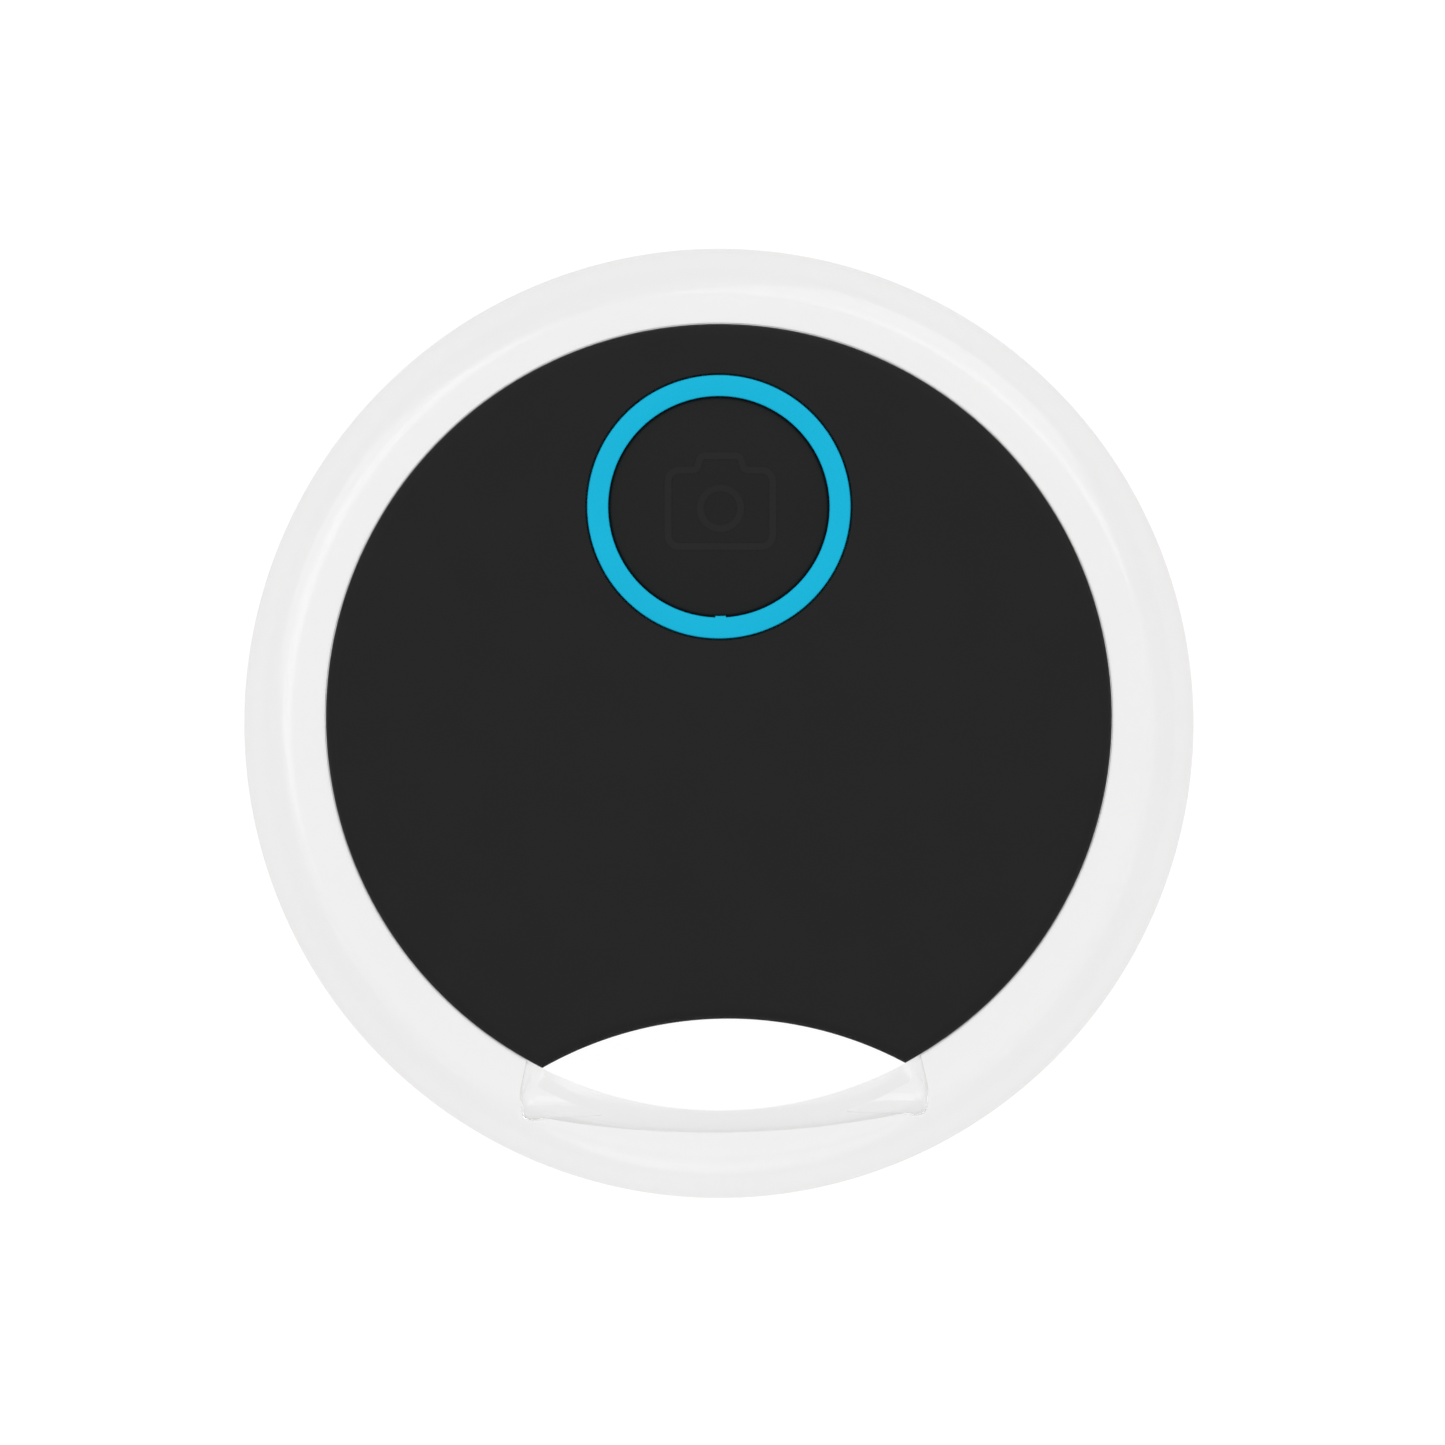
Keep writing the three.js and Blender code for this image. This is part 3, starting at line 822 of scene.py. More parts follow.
@dataclass
class ClearRing:
    """The clear ring, with the tongue that the shells clamp and the relief scooped across the key loop."""

    r: float = 19.0
    low: float = 0.8
    high: float = 7.2
    crown_r: float = 16.75
    crown_drop: float = 0.04
    roundness: float = 2.4
    bore: float = 15.74
    bore_y: float = 0.26
    corner: float = 0.1
    tongue_r: float = 14.55
    tongue_low: float = 3.5
    tongue_high: float = 4.3
    tongue_end: float = 33.0
    scoop_r: float = 2.2
    scoop_rise: float = 0.8
    scoop_end: float = 0.85
    scoop_steps: int = 14
    bend_r: float = 37.4
    bend_y: float = 23.1
    bend_half: float = 12.2
    loop_turn: float = 0.8
    dish_base: Spot = (7.95, -14.7, 6.9)
    dish_tip: Spot = (4.9, -15.6, 6.45)
    dish_r: float = 1.15
    dish_round: float = 0.65
    steps: int = 288
    corner_facets: int = 6
    slope_facets: int = 6
    side_facets: int = 24
    cutter_sides: int = 96
    round_facets: int = 8

    def fall(self, r: float) -> float:
        """Returns how far the front face has dropped below the crown at a radius inside it."""
        return self.crown_drop * (self.crown_r - r) ** 2

    def half_section(self) -> list[Place]:
        """Draws the front half of the section, from the bore over the crown to the outermost point.

        Returns:
            Radius and height of each point, with heights counted from the middle plane.
        """
        half = (self.high - self.low) / 2
        start = self.bore + self.corner
        hub = (start, half - self.fall(start) - self.corner)
        points = arc(hub, self.corner, 180, 90, self.corner_facets)
        for i in range(1, self.slope_facets):
            r = start + (self.crown_r - start) * i / self.slope_facets
            points.append((r, half - self.fall(r)))
        for i in range(self.side_facets + 1):
            angle = math.pi / 2 * i / self.side_facets
            out = math.sin(angle) ** (2 / self.roundness)
            up = math.cos(angle) ** (2 / self.roundness) if i < self.side_facets else 0
            points.append((self.crown_r + (self.r - self.crown_r) * out, half * up))
        return points

    def section(self) -> list[Place]:
        """Draws the section: the front half, its mirror image, and the bore's wall with the tongue's edges.

        Returns:
            Radius and height of each point, ending where it starts.
        """
        middle = (self.high + self.low) / 2
        half = self.half_section()
        front = [(r, middle + z) for r, z in half]
        rear = [(r, middle - z) for r, z in reversed(half[:-1])]
        wall = [(self.bore, self.tongue_low), (self.bore, self.tongue_high)]
        return [*front, *rear, *wall, front[0]]

    def centre_bore(self, obj: bpy.types.Object) -> None:
        """Moves the bore off the ring's own centre, so that the wall is thickest at the key loop.

        Args:
            obj: the ring.
        """
        for vertex in obj.data.vertices:
            r = math.hypot(vertex.co.x, vertex.co.y) / MM
            share = min(1.0, max(0.0, (self.crown_r - r) / (self.crown_r - self.bore)))
            vertex.co.y += self.bore_y * MM * share

    def add_tongue(self, obj: bpy.types.Object) -> None:
        """Draws the tongue out of the bore, all the way round but across the key loop.

        Args:
            obj: the ring.
        """

        def on_wall(place: Vector) -> bool:
            """Tests for the bore's wall where the tongue starts.

            Args:
                place: a corner.

            Returns:
                Whether the corner lies there.
            """
            from_loop = abs(math.degrees(math.atan2(place.x, self.bore_y - place.y)) - self.loop_turn)
            across = math.hypot(place.x, place.y - self.bore_y)
            in_height = self.tongue_low - TOUCH < place.z < self.tongue_high + TOUCH
            return in_height and across < self.bore + 2 * TOUCH and from_loop > self.tongue_end

        Bench.edit(obj)
        Bench.pick(obj, Kind.FACE, on_wall)
        bpy.ops.mesh.extrude_region_move(TRANSFORM_OT_translate={"value": (0, 0, 0)})
        draw = self.tongue_r / self.bore
        bpy.ops.transform.resize(value=(draw, draw, 1), center_override=(0, self.bore_y * MM, 0))
        Bench.leave()

    def scoop(self, height: float) -> bpy.types.Object:
        """Makes the tool that scoops out the relief: a short stretch of a wide hoop.

        Args:
            height: height of the hoop's centreline.

        Returns:
            The tool.
        """
        turn = math.radians(self.loop_turn)
        start = math.radians(-90 - self.bend_half) + turn
        x, y = -self.bend_y * math.sin(turn), self.bend_y * math.cos(turn)
        place = (x + self.bend_r * math.cos(start), y + self.bend_r * math.sin(start), height)
        bpy.ops.mesh.primitive_circle_add(
            vertices=self.cutter_sides,
            radius=self.scoop_r * MM,
            fill_type="NGON",
            location=[value * MM for value in place],
            rotation=(math.pi / 2, 0, start),
        )
        outline = bpy.context.object
        Bench.take(outline)
        bpy.ops.object.transform_apply(location=True, rotation=True, scale=True)
        hoop = Bench.swept(outline, (x, y, 0), 2 * self.bend_half, self.scoop_steps)

        def on_end(place: Vector) -> bool:
            """Tests for one of the hoop's two ends.

            Args:
                place: a corner.

            Returns:
                Whether the corner lies there.
            """
            from_middle = math.degrees(math.atan2(place.x - x, y - place.y) - turn)
            return abs(abs(from_middle) - self.bend_half) < TOUCH

        Bench.round_edges(hoop, on_end, self.scoop_end, self.round_facets)
        return hoop

    def end_dish(self, side: float) -> bpy.types.Object:
        """Makes the tool that dishes one end of the relief: a cone along it that points at its middle.

        Args:
            side: -1 for the left end, 1 for the right end.

        Returns:
            The tool.
        """
        turn = Matrix.Rotation(math.radians(self.loop_turn), 3, "Z")
        base = turn @ Vector((side * self.dish_base[0], *self.dish_base[1:]))
        tip = turn @ Vector((side * self.dish_tip[0], *self.dish_tip[1:]))
        axis = tip - base
        bpy.ops.mesh.primitive_cone_add(
            vertices=self.cutter_sides,
            radius1=self.dish_r * MM,
            radius2=0,
            depth=axis.length * MM,
            location=(base + tip) / 2 * MM,
            rotation=axis.to_track_quat("Z", "Y").to_euler(),
        )
        cone = Bench.tidy(bpy.context.object)
        Bench.round_edges(
            cone, lambda place: abs((place - base).dot(axis)) < TOUCH, self.dish_round, self.round_facets
        )
        return cone

    def build(self, finish: Clear) -> None:
        """Makes the ring and dresses it.

        Args:
            finish: the clear plastic.
        """
        ring = Bench.turned(self.section(), steps=self.steps)
        self.centre_bore(ring)
        self.add_tongue(ring)
        Bench.combine(ring, self.scoop(self.high + self.scoop_rise), Join.CUT)
        Bench.combine(ring, self.end_dish(-1), Join.CUT)
        Bench.combine(ring, self.end_dish(1), Join.CUT)
        Piece("ring_clear", "housing", "clear_ring", "clear_plastic").hand_over(ring, finish.make())


@dataclass
class Shells:
    """The black front and rear covers."""

    outline: BodyOutline
    high: float = 8.0
    edge: float = 0.45
    wall: float = 1.1
    upper_wall: float = 1.75
    ledge: float = 5.6
    front_low: float = 3.5
    front_inside: float = 7.1
    rear_floor: float = 1.0
    rear_top: float = 3.4
    lip_outer: float = 1.25
    lip_inner: float = 1.65
    lip_root: float = 0.5
    lip_high: float = 5.0
    hole_sides: int = 192
    bezel_hole: float = 5.31
    bezel_edge: float = 0.06
    bezel_facets: int = 3
    bezel_pocket: float = 6.2
    button_y: float = 8.65
    boss_r: float = 1.3
    boss_low: float = 5.5
    boss_root: float = 0.05
    boss_sides: int = 32
    boss_hole: float = 0.7
    boss_hole_low: float = 5.0
    boss_hole_high: float = 6.9
    boss_hole_sides: int = 24
    boss_circle: float = 12.4
    boss_angles: tuple[float, ...] = (15, 165, 212, 328)
    groove_end: float = 32.5
    groove_high: float = 4.4
    groove_in: float = 0.1
    groove_out: float = 0.5
    door_y: float = 1.6
    mouth_r: float = 11.65
    mouth_high: float = 1.5
    entry_r: float = 12.5
    entry_half: float = 12.0
    entries: tuple[float, ...] = (-30, 90, 210)

    def front(self, material: bpy.types.Material) -> None:
        """Makes the front cover and dresses it.

        Args:
            material: the black plastic.
        """
        under = self.front_low - OVERCUT
        cover = self.outline.blank(0, self.front_low, self.high, (0, self.edge))
        self.outline.hollow(cover, self.wall, under, self.ledge)
        self.outline.hollow(cover, self.upper_wall, under, self.front_inside)
        centre = (0, self.button_y)
        pocket = Bench.cylinder(self.bezel_pocket, self.ledge, self.front_inside, centre)
        Bench.combine(cover, pocket, Join.CUT)
        low, high = self.high - 2 * OVERCUT, self.high + OVERCUT
        hole = Bench.cylinder(self.bezel_hole, low, high, centre, self.hole_sides)
        Bench.combine(cover, hole, Join.CUT)
        Bench.combine(cover, self.tongue_groove(), Join.CUT)
        for angle in self.boss_angles:
            turn = math.radians(angle)
            x, y = self.boss_circle * math.cos(turn), self.boss_circle * math.sin(turn)
            place = (x, self.outline.centre_y + y)
            low, high = self.boss_low, self.front_inside + self.boss_root
            boss = Bench.cylinder(self.boss_r, low, high, place, self.boss_sides)
            Bench.combine(cover, boss, Join.ADD)
            low, high = self.boss_hole_low, self.boss_hole_high
            screw_hole = Bench.cylinder(self.boss_hole, low, high, place, self.boss_hole_sides)
            Bench.combine(cover, screw_hole, Join.CUT)
        Bench.round_edges(cover, self.on_bezel_hole, self.bezel_edge, self.bezel_facets)
        Piece("cover_front", "housing", "front_cover", "black_housing").hand_over(cover, material)

    def tongue_groove(self) -> bpy.types.Object:
        """Makes the tool that cuts the seat for the ring's tongue into the front cover's lower edge.

        Returns:
            The tool.
        """
        return Bench.ring_sector(
            self.outline.r - self.wall - self.groove_in,
            self.outline.r + self.groove_out,
            self.outline.loop_turn + self.groove_end - 90,
            self.outline.loop_turn + 270 - self.groove_end,
            self.rear_top,
            self.groove_high,
            (0, self.outline.centre_y),
        )

    def on_bezel_hole(self, place: Vector) -> bool:
        """Tests for the front rim of the hole for the bezel.

        Args:
            place: a corner.

        Returns:
            Whether the corner lies there.
        """
        across = math.hypot(place.x, place.y - self.button_y)
        return abs(across - self.bezel_hole) < TOUCH and place.z > self.high - TOUCH

    def rear(self, material: bpy.types.Material) -> None:
        """Makes the rear cover and dresses it.

        Args:
            material: the black plastic.
        """
        cover = self.outline.blank(0, 0, self.rear_top, (self.edge, 0))
        lip = self.outline.blank(self.lip_outer, self.rear_top - self.lip_root, self.lip_high)
        Bench.combine(cover, lip, Join.ADD)
        self.outline.hollow(cover, self.lip_inner, self.rear_floor, self.high)
        centre = (0, self.door_y)
        mouth = Bench.cylinder(self.mouth_r, -OVERCUT, self.mouth_high, centre, self.hole_sides)
        Bench.combine(cover, mouth, Join.CUT)
        for middle in self.entries:
            start, end = middle - self.entry_half, middle + self.entry_half
            entry = Bench.ring_sector(
                self.mouth_r - OVERCUT, self.entry_r, start, end, -OVERCUT, self.mouth_high, centre
            )
            Bench.combine(cover, entry, Join.CUT)
        Piece("cover_rear", "housing", "rear_cover", "black_housing").hand_over(cover, material)


@dataclass
class BatteryDoor:
    """The twist-lock door, with its lugs and coin slot."""

    y: float = 1.6
    r: float = 11.5
    low: float = 0.1
    inside: float = 1.05
    rim_bore: float = 10.45
    rim_r: float = 11.3
    rim_high: float = 1.6
    lug_r: float = 12.35
    lug_root: float = 0.4
    lug_low: float = 1.15
    lug_half: float = 9.0
    lugs: tuple[float, ...] = (0, 120, 240)
    edge: float = 0.12
    slot_length: float = 9.0
    slot_width: float = 1.7
    slot_depth: float = 0.5
    slot_round: float = 0.3
    facets: int = 4

    def section(self) -> list[Place]:
        """Draws the door's section, from the axis over its inside to its outer face.

        Returns:
            Radius and height of each point.
        """
        rounded = arc((self.r - self.edge, self.low + self.edge), self.edge, 0, -90, self.facets)
        return [
            (0, self.inside),
            (self.rim_bore, self.inside),
            (self.rim_bore, self.rim_high),
            (self.rim_r, self.rim_high),
            (self.rim_r, self.inside),
            (self.r, self.inside),
            *rounded,
            (0, self.low),
        ]

    def build(self, material: bpy.types.Material) -> None:
        """Makes the door and dresses it.

        Args:
            material: the black plastic.
        """
        centre = (0, self.y)
        door = Bench.turned(self.section(), centre)
        for angle in self.lugs:
            start, end = angle - self.lug_half, angle + self.lug_half
            lug = Bench.ring_sector(
                self.rim_r - self.lug_root, self.lug_r, start, end, self.lug_low, self.rim_high, centre
            )
            Bench.combine(door, lug, Join.ADD)
        size = (self.slot_length, self.slot_width)
        slot = Bench.block(size, -OVERCUT, self.low + self.slot_depth, centre)
        Bench.round_edges(slot, lambda place: True, self.slot_round, self.facets)
        Bench.combine(door, slot, Join.CUT)
        Piece("door_battery", "door", "battery_door", "black_housing").hand_over(door, material)


@dataclass
class Button:
    """The blue bezel, the push cap inside it and the outline picture on the cap."""

    y: float = 8.65
    bezel_r: float = 5.26
    bezel_bore: float = 4.42
    bezel_high: float = 8.1
    bezel_low: float = 6.6
    flange_r: float = 6.1
    flange_high: float = 7.0
    bezel_edge: float = 0.07
    key_half: float = 3.6
    key_depth: float = 0.06
    cap_r: float = 4.39
    cap_high: float = 7.9
    cap_edge: float = 0.12
    cap_flange_r: float = 4.95
    cap_flange_low: float = 6.1
    cap_flange_high: float = 6.5
    skirt_bore: float = 3.85
    roof: float = 7.1
    stem_r: float = 0.9
    stem_low: float = 6.05
    steps: int = 200
    facets: int = 4

    def bezel(self, material: bpy.types.Material) -> None:
        """Makes the bezel, with the key on its bore, and dresses it.

        Args:
            material: the blue plastic.
        """
        edge, bore, r = self.bezel_edge, self.bezel_bore, self.bezel_r
        inner = arc((bore + edge, self.bezel_high - edge), edge, 180, 90, self.facets)
        outer = [(bore + r - across, z) for across, z in reversed(inner)]
        section = [
            *inner,
            *outer,
            (r, self.flange_high),
            (self.flange_r, self.flange_high),
            (self.flange_r, self.bezel_low),
            (bore, self.bezel_low),
            inner[0],
        ]
        ring = Bench.turned(section, (0, self.y), self.steps)

        def on_key(place: Vector) -> bool:
            """Tests for the stretch of the bore where the key stands.

            Args:
                place: a corner.

            Returns:
                Whether the corner lies there.
            """
            across = math.hypot(place.x, place.y - self.y)
            from_loop = abs(math.degrees(math.atan2(place.x, self.y - place.y)))
            return across < bore + edge and from_loop < self.key_half

        Bench.edit(ring)
        Bench.pick(ring, Kind.FACE, on_key)
        bpy.ops.mesh.extrude_region_move(TRANSFORM_OT_translate={"value": (0, self.key_depth * MM, 0)})
        Bench.leave()
        Piece("bezel_blue", "housing", "button_bezel", "blue_bezel").hand_over(ring, material)

    def cap(self, material: bpy.types.Material) -> None:
        """Makes the cap, with its flange, skirt and stem, and dresses it.

        Args:
            material: the cap's plastic.
        """
        r, edge, top = self.cap_r, self.cap_edge, self.cap_high
        section = [
            (0, top),
            *arc((r - edge, top - edge), edge, 90, 0, self.facets),
            (r, self.cap_flange_high),
            (self.cap_flange_r, self.cap_flange_high),
            (self.cap_flange_r, self.cap_flange_low),
            (self.skirt_bore, self.cap_flange_low),
            (self.skirt_bore, self.roof),
            (self.stem_r, self.roof),
            (self.stem_r, self.stem_low),
            (0, self.stem_low),
        ]
        cap = Bench.turned(section, (0, self.y), self.steps)
        Piece("cap_button", "button", "button_cap", "black_button").hand_over(cap, material)


@dataclass
class Picture:
    """The generic camera outline that stands a hair proud of the cap."""

    centre: Place = (0.06, 8.59)
    width: float = 4.46
    depth: float = 3.33
    corner: float = 0.58
    hump_base: float = 2.1
    hump_top: float = 1.78
    hump_rise: float = 0.57
    crest_round: float = 0.34
    base_round: float = 0.08
    stroke: float = 0.28
    lens_r: float = 0.95
    lens_sides: int = 64
    floor: float = 7.88
    top: float = 7.915

    def corners(self) -> list[tuple[Place, float]]:
        """Lists the case's corners, counter-clockwise from the lower left.

        Returns:
            Each corner's place and radius, relative to the picture's centre.
        """
        half, low = self.width / 2, -self.depth / 2
        shoulder = low + self.depth
        crest = shoulder + self.hump_rise
        base, top = self.hump_base / 2, self.hump_top / 2
        return [
            ((-half, low), self.corner),
            ((half, low), self.corner),
            ((half, shoulder), self.corner),
            ((base, shoulder), self.base_round),
            ((top, crest), self.crest_round),
            ((-top, crest), self.crest_round),
            ((-base, shoulder), self.base_round),
            ((-half, shoulder), self.corner),
        ]

    def outline(self, steps: int = 6) -> list[Place]:
        """Returns the case's outline with an arc at every corner.

        Args:
            steps: facets per arc.

        Returns:
            Its points, counter-clockwise, relative to the picture's centre.
        """
        corners = self.corners()
        points = []
        for i, (place, radius) in enumerate(corners):
            here = Vector(place)
            back = (Vector(corners[i - 1][0]) - here).normalized()
            ahead = (Vector(corners[(i + 1) % len(corners)][0]) - here).normalized()
            half = back.angle(ahead) / 2
            hub = here + (back + ahead).normalized() * radius / math.sin(half)
            start = here + back * radius / math.tan(half) - hub
            sweep = start.angle_signed(here + ahead * radius / math.tan(half) - hub)
            for step in range(steps + 1):
                turn = -sweep * step / steps
                x = start.x * math.cos(turn) - start.y * math.sin(turn)
                y = start.x * math.sin(turn) + start.y * math.cos(turn)
                points.append((hub.x + x, hub.y + y))
        return points

    def flat(self, points: Section) -> bpy.types.Object:
        """Draws a closed outline on the cap and fills it.

        Args:
            points: its corners, round the outline, relative to the picture's centre.

        Returns:
            A flat object with one face.
        """
        start = (self.centre[0] + points[0][0], self.centre[1] + points[0][1], self.floor)
        bpy.ops.mesh.primitive_plane_add(size=MM, location=[value * MM for value in start])
        obj = bpy.context.object
        Bench.edit(obj)
        bpy.ops.mesh.select_all(action="SELECT")
        bpy.ops.mesh.merge(type="CENTER")
        for (x0, y0), (x1, y1) in zip(points, points[1:]):
            step = ((x1 - x0) * MM, (y1 - y0) * MM, 0)
            bpy.ops.mesh.extrude_vertices_move(TRANSFORM_OT_translate={"value": step})
        bpy.ops.mesh.select_all(action="SELECT")
        bpy.ops.mesh.edge_face_add()
        Bench.leave()
        return obj

    def raised(self, obj: bpy.types.Object) -> bpy.types.Object:
        """Leaves a stroke's width inside a filled outline and raises it off the cap.

        Args:
            obj: the flat outline.

        Returns:
            The same object, now a solid.
        """
        Bench.edit(obj)
        bpy.ops.mesh.select_all(action="SELECT")
        bpy.ops.mesh.normals_make_consistent(inside=False)
        bpy.ops.mesh.inset(thickness=self.stroke * MM, depth=0, use_even_offset=True)
        bpy.ops.mesh.delete(type="FACE")
        bpy.ops.mesh.select_all(action="SELECT")
        rise = (0, 0, (self.top - self.floor) * MM)
        bpy.ops.mesh.extrude_region_move(TRANSFORM_OT_translate={"value": rise})
        Bench.leave()
        return Bench.tidy(obj)

    def build(self, material: bpy.types.Material) -> None:
        """Makes the case outline and the lens circle, and dresses them.

        Args:
            material: the cap's plastic with a little more gloss.
        """
        case = self.raised(self.flat(self.outline()))
        x, y = self.centre
        bpy.ops.mesh.primitive_circle_add(
            vertices=self.lens_sides,
            radius=self.lens_r * MM,
            fill_type="NGON",
            location=(x * MM, y * MM, self.floor * MM),
        )
        lens = self.raised(bpy.context.object)
        Piece("picture_case", "button", "", "black_button").hand_over(case, material)
        Piece("picture_lens", "button", "", "black_button").hand_over(lens, material)


@dataclass
class SnapDome:
    """The sprung steel dome under the plunger, which flattens when the button is pushed."""

    joint: str = "button_press"
    skin: float = 0.06
    stations: int = 12
    steps: int = 64
    keep: float = 0.1

    def build(self, material: bpy.types.Material) -> None:
        """Makes the dome, dresses it and gives it a mesh of its own.

        Args:
            material: the spring steel.
        """
        low, high = (Vector(corner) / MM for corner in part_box("switch_dome"))
        middle = (low + high) / 2
        r, rise = (high.x - low.x) / 2, high.z - low.z - self.skin
        shares = [station / self.stations for station in range(self.stations + 1)]
        over = [(r * share, low.z + self.skin + rise * (1 - share**2)) for share in shares]
        under = [(r * share, low.z + rise * (1 - share**2)) for share in reversed(shares)]
        dome = Bench.turned([*over, *under], (middle.x, middle.y), self.steps)
        Piece("dome_snap", "housing", "switch_dome", "spring_steel").hand_over(dome, material)
        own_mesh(dome)


@dataclass
class Inside:
    """What the shells hold. The CAD solids stay, all but the snap dome, and each gets its own finish."""

    screws: int = 4
    capacitors: int = 4

    def dress(self) -> None:
        """Builds the snap dome and gives every other inner node its finish."""
        steel = Plated("plated_steel", (0.62, 0.61, 0.6)).make()
        screw = Plated("zinc_screw", (0.5, 0.5, 0.52), roughness=0.38, line=0.03).make()
        brass = Plated("spring_brass", (0.72, 0.52, 0.2), roughness=0.28).make()
        seal = Silicone("seal_silicone", (0.04, 0.04, 0.045)).make()
        plain = Moulded("inner_plastic", (0.07, 0.07, 0.075), roughness=0.6).make()
        board = BoardMask("board_mask").make()
        epoxy = Granular("chip_epoxy", (0.013, 0.013, 0.015), roughness=0.55).make()
        ceramic = Granular("fired_ceramic", (0.74, 0.69, 0.58), roughness=0.45, contrast=0.06).make()
        resin = Granular(
            "lamp_resin", (0.85, 0.82, 0.5), roughness=0.25, speck=0.2, contrast=0.05
        ).make()
        foam = Granular("adhesive_foam", (0.8, 0.8, 0.77), roughness=0.85, speck=0.08).make()
        finishes = {
            "battery_can": steel,
            "battery_negative_cap": steel,
            "battery_gasket": plain,
            "battery_cradle": plain,
            "switch_body": plain,
            "switch_plunger": plain,
            "crystal_main": steel,
            "crystal_clock": steel,
            "positive_contact": brass,
            "negative_contact": brass,
            "buzzer_plate": brass,
            "buzzer_pin_1": brass,
            "buzzer_pin_2": brass,
            "buzzer_ceramic": ceramic,
            "buzzer_adhesive": foam,
            "chip_antenna": ceramic,
            "circuit_board": board,
            "radio_chip": epoxy,
            "power_inductor": epoxy,
            "door_seal": seal,
            "housing_seal": seal,
            "button_seal": seal,
            "status_led_1": resin,
            "status_led_2": resin,
        }
        finishes |= {f"board_screw_{number}": screw for number in range(1, self.screws + 1)}
        finishes |= {f"capacitor_{number}": ceramic for number in range(1, self.capacitors + 1)}
        SnapDome().build(steel)
        for node, material in finishes.items():
            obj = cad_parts[node]
            obj.data.materials.clear()
            obj.data.materials.append(material)
        LOG.info("inside: %d nodes dressed", len(finishes))


# ---------------------------------------------------------------- studio


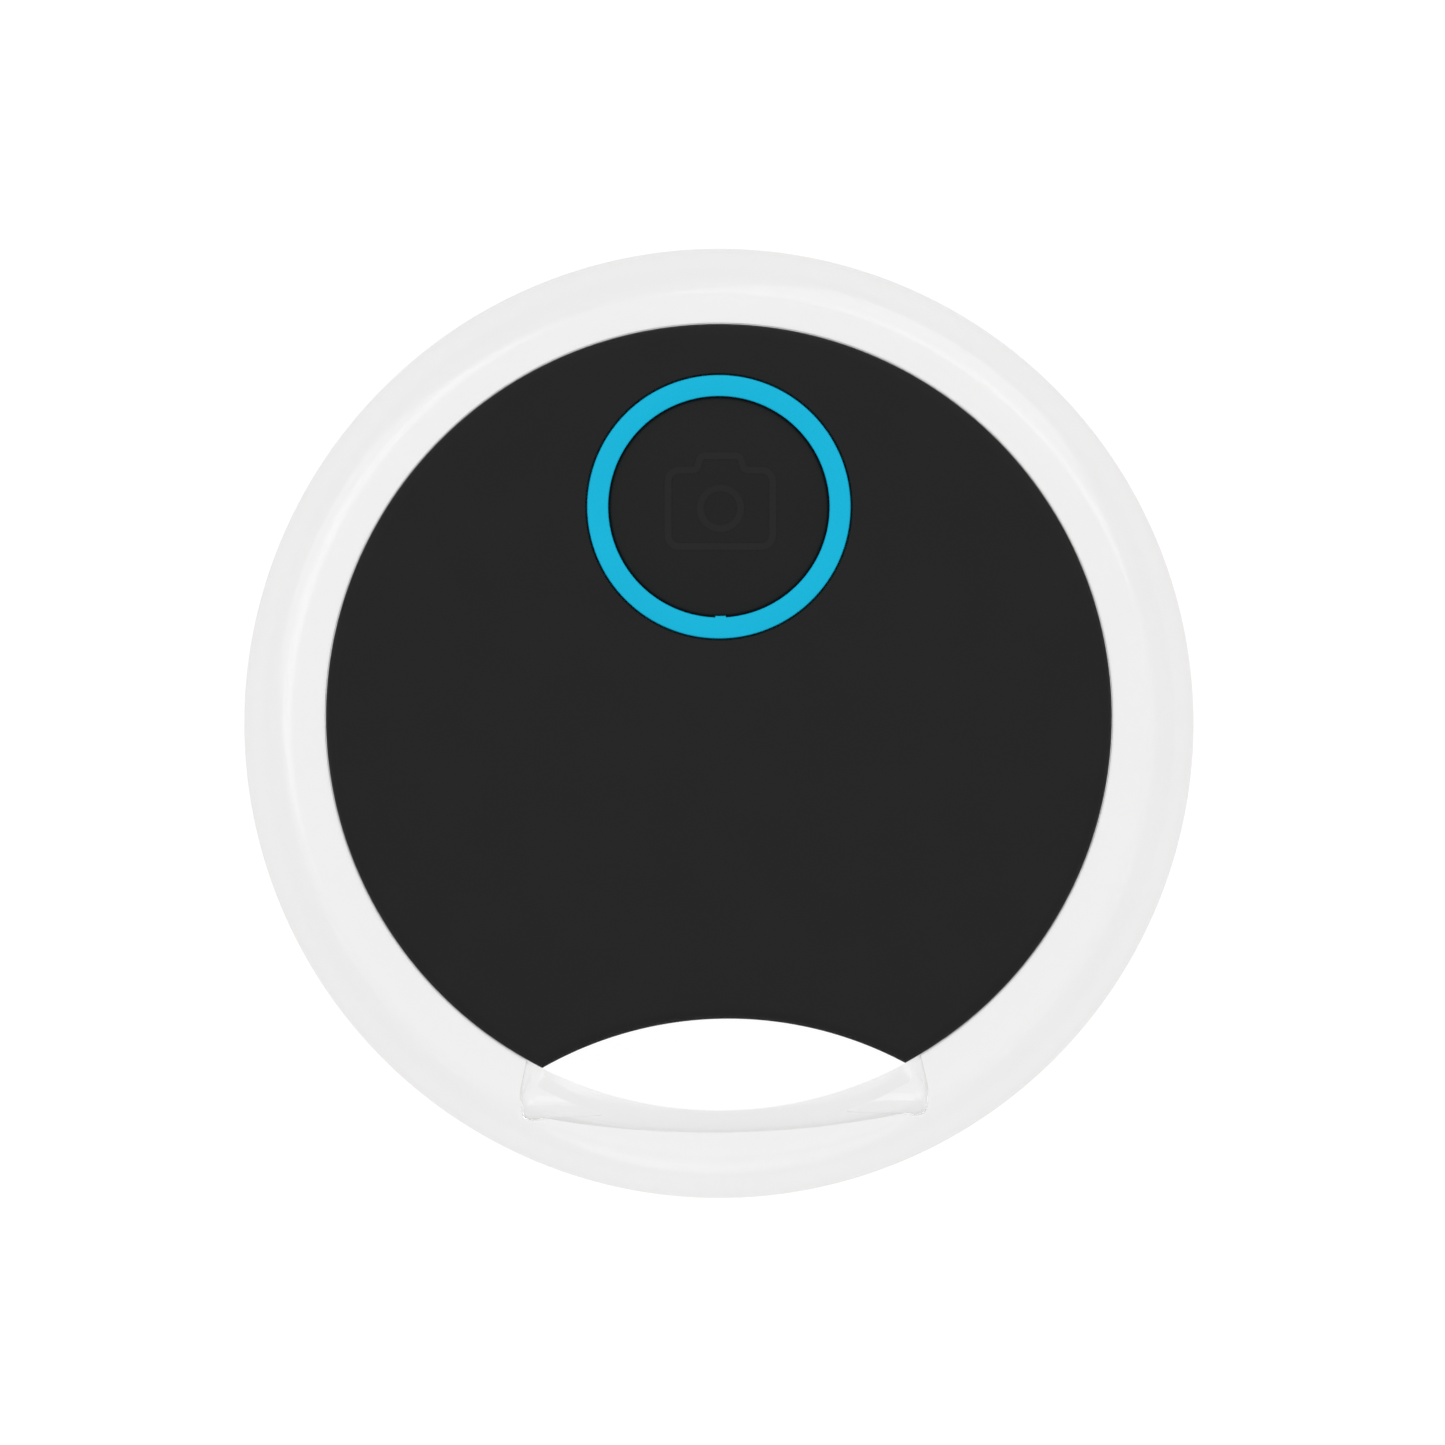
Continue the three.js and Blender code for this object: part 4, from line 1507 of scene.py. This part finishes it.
@dataclass
class Studio:
    """The pale floor, the soft lamps and the camera that looks straight down at the front face."""

    view_width: float = 57.82
    view_centre: Place = (0.145, 0.035)
    view_height: float = 4.0
    distance: float = 2000.0
    sensor: float = 36.0
    reach: float = 500.0
    nearest: float = 10.0
    farthest: float = 20000.0
    horizon_glow: float = 0.85
    horizon_low: float = 0.02
    horizon_middle: float = 0.2
    horizon_high: float = 0.7
    floor_glow: float = 0.96
    floor_size: float = 4000.0
    floor_drop: float = 0.02
    floor_dark: Colour = (0.1, 0.1, 0.1)
    floor_pale: Colour = (0.105, 0.105, 0.105)

    def camera(self) -> None:
        """Adds the camera."""
        data = bpy.data.cameras.new("camera")
        data.sensor_width = self.sensor
        data.lens = self.sensor * self.distance / self.view_width
        data.clip_start = self.nearest * MM
        data.clip_end = self.farthest * MM
        camera = bpy.data.objects.new("camera", data)
        x, y = self.view_centre
        camera.location = (x * MM, y * MM, (self.view_height + self.distance) * MM)
        bpy.context.scene.collection.objects.link(camera)
        bpy.context.scene.camera = camera

    def floor(self) -> None:
        """Adds the floor just under the rear face."""
        bpy.ops.mesh.primitive_plane_add(size=self.floor_size * MM, location=(0, 0, -self.floor_drop * MM))
        floor = bpy.context.object
        floor.name = "floor"
        graph = Graph("pale_floor")
        tone = graph.tint(graph.noise(30, detail=2), self.floor_dark, self.floor_pale)
        graph.join(tone, graph.shader.inputs["Base Color"])
        graph.set(
            Roughness=1.0,
            Specular_IOR_Level=0.0,
            Emission_Color=(1, 1, 1, 1),
            Emission_Strength=self.floor_glow,
        )
        floor.data.materials.append(graph.material)

    def lamp(self, name: str, azimuth: float, lean: float, span: Place, glow: float) -> None:
        """Adds a soft lamp that faces the tag.

        Args:
            name: its name.
            azimuth: its direction in degrees from +X.
            lean: degrees from straight overhead to its middle.
            span: degrees that it fills, level and along its lean.
            glow: how bright it is next to the floor.
        """
        width, length = (2 * self.reach * MM * math.tan(math.radians(angle / 2)) for angle in span)
        data = bpy.data.lights.new(name, "AREA")
        data.shape = "RECTANGLE"
        data.size = width
        data.size_y = length
        data.energy = glow * math.pi * width * length
        lamp = bpy.data.objects.new(name, data)
        turn, fall = math.radians(azimuth), math.radians(lean)
        out = Vector((math.sin(fall) * math.cos(turn), math.sin(fall) * math.sin(turn), math.cos(fall)))
        lamp.location = out * self.reach * MM
        lamp.rotation_euler = out.to_track_quat("Z", "Y").to_euler()
        bpy.context.scene.collection.objects.link(lamp)

    def sky(self) -> None:
        """Makes the surroundings: white, and a little dimmer just above the horizon."""
        world = bpy.data.worlds.new("studio")
        bpy.context.scene.world = world
        world.use_nodes = True
        tree = world.node_tree
        tree.nodes.clear()
        output = tree.nodes.new("ShaderNodeOutputWorld")
        background = tree.nodes.new("ShaderNodeBackground")
        direction = tree.nodes.new("ShaderNodeTexCoord")
        split = tree.nodes.new("ShaderNodeSeparateXYZ")
        ramp = tree.nodes.new("ShaderNodeValToRGB")
        stops = ramp.color_ramp.elements
        stops[0].position, stops[0].color = self.horizon_low, (1, 1, 1, 1)
        stops[1].position, stops[1].color = self.horizon_high, (1, 1, 1, 1)
        dim = (self.horizon_glow, self.horizon_glow, self.horizon_glow, 1)
        stops.new(self.horizon_middle).color = dim
        tree.links.new(direction.outputs["Generated"], split.inputs[0])
        tree.links.new(split.outputs["Z"], ramp.inputs[0])
        tree.links.new(ramp.outputs["Color"], background.inputs["Color"])
        tree.links.new(background.outputs[0], output.inputs["Surface"])

    def set_up(self) -> None:
        """Adds everything round the tag."""
        self.camera()
        self.floor()
        self.sky()
        self.lamp("lamp_left", 155, 32, (27, 40), 1.05)
        self.lamp("lamp_right", 58, 40, (34, 46), 1.1)
        bpy.context.scene.view_settings.view_transform = "Standard"


def main() -> None:
    """Builds the tag's visible pieces in order, dresses the rest and sets up the studio."""
    logging.basicConfig(level=logging.INFO, format="%(message)s")
    outline = BodyOutline()
    black = Moulded(
        "black_moulding", (0.0093, 0.0093, 0.0093), roughness=0.6, specular=0.12, grain_depth=0.0008
    ).make()
    cap = Moulded("black_cap", (0.0092, 0.0092, 0.0092), roughness=0.62, specular=0.12).make()
    ink = Moulded("picture_ink", (0.0102, 0.0102, 0.0102), roughness=0.5, specular=0.13).make()
    blue = Moulded("blue_moulding", (0.003, 0.386, 0.59), roughness=0.5, specular=0.1, mottle=0.01).make()
    ClearRing().build(Clear("clear_plastic"))
    shells = Shells(outline)
    shells.front(black)
    shells.rear(black)
    BatteryDoor().build(black)
    button = Button()
    button.bezel(blue)
    button.cap(cap)
    Picture().build(ink)
    Inside().dress()
    Studio().set_up()


if __name__ == "__main__":
    main()
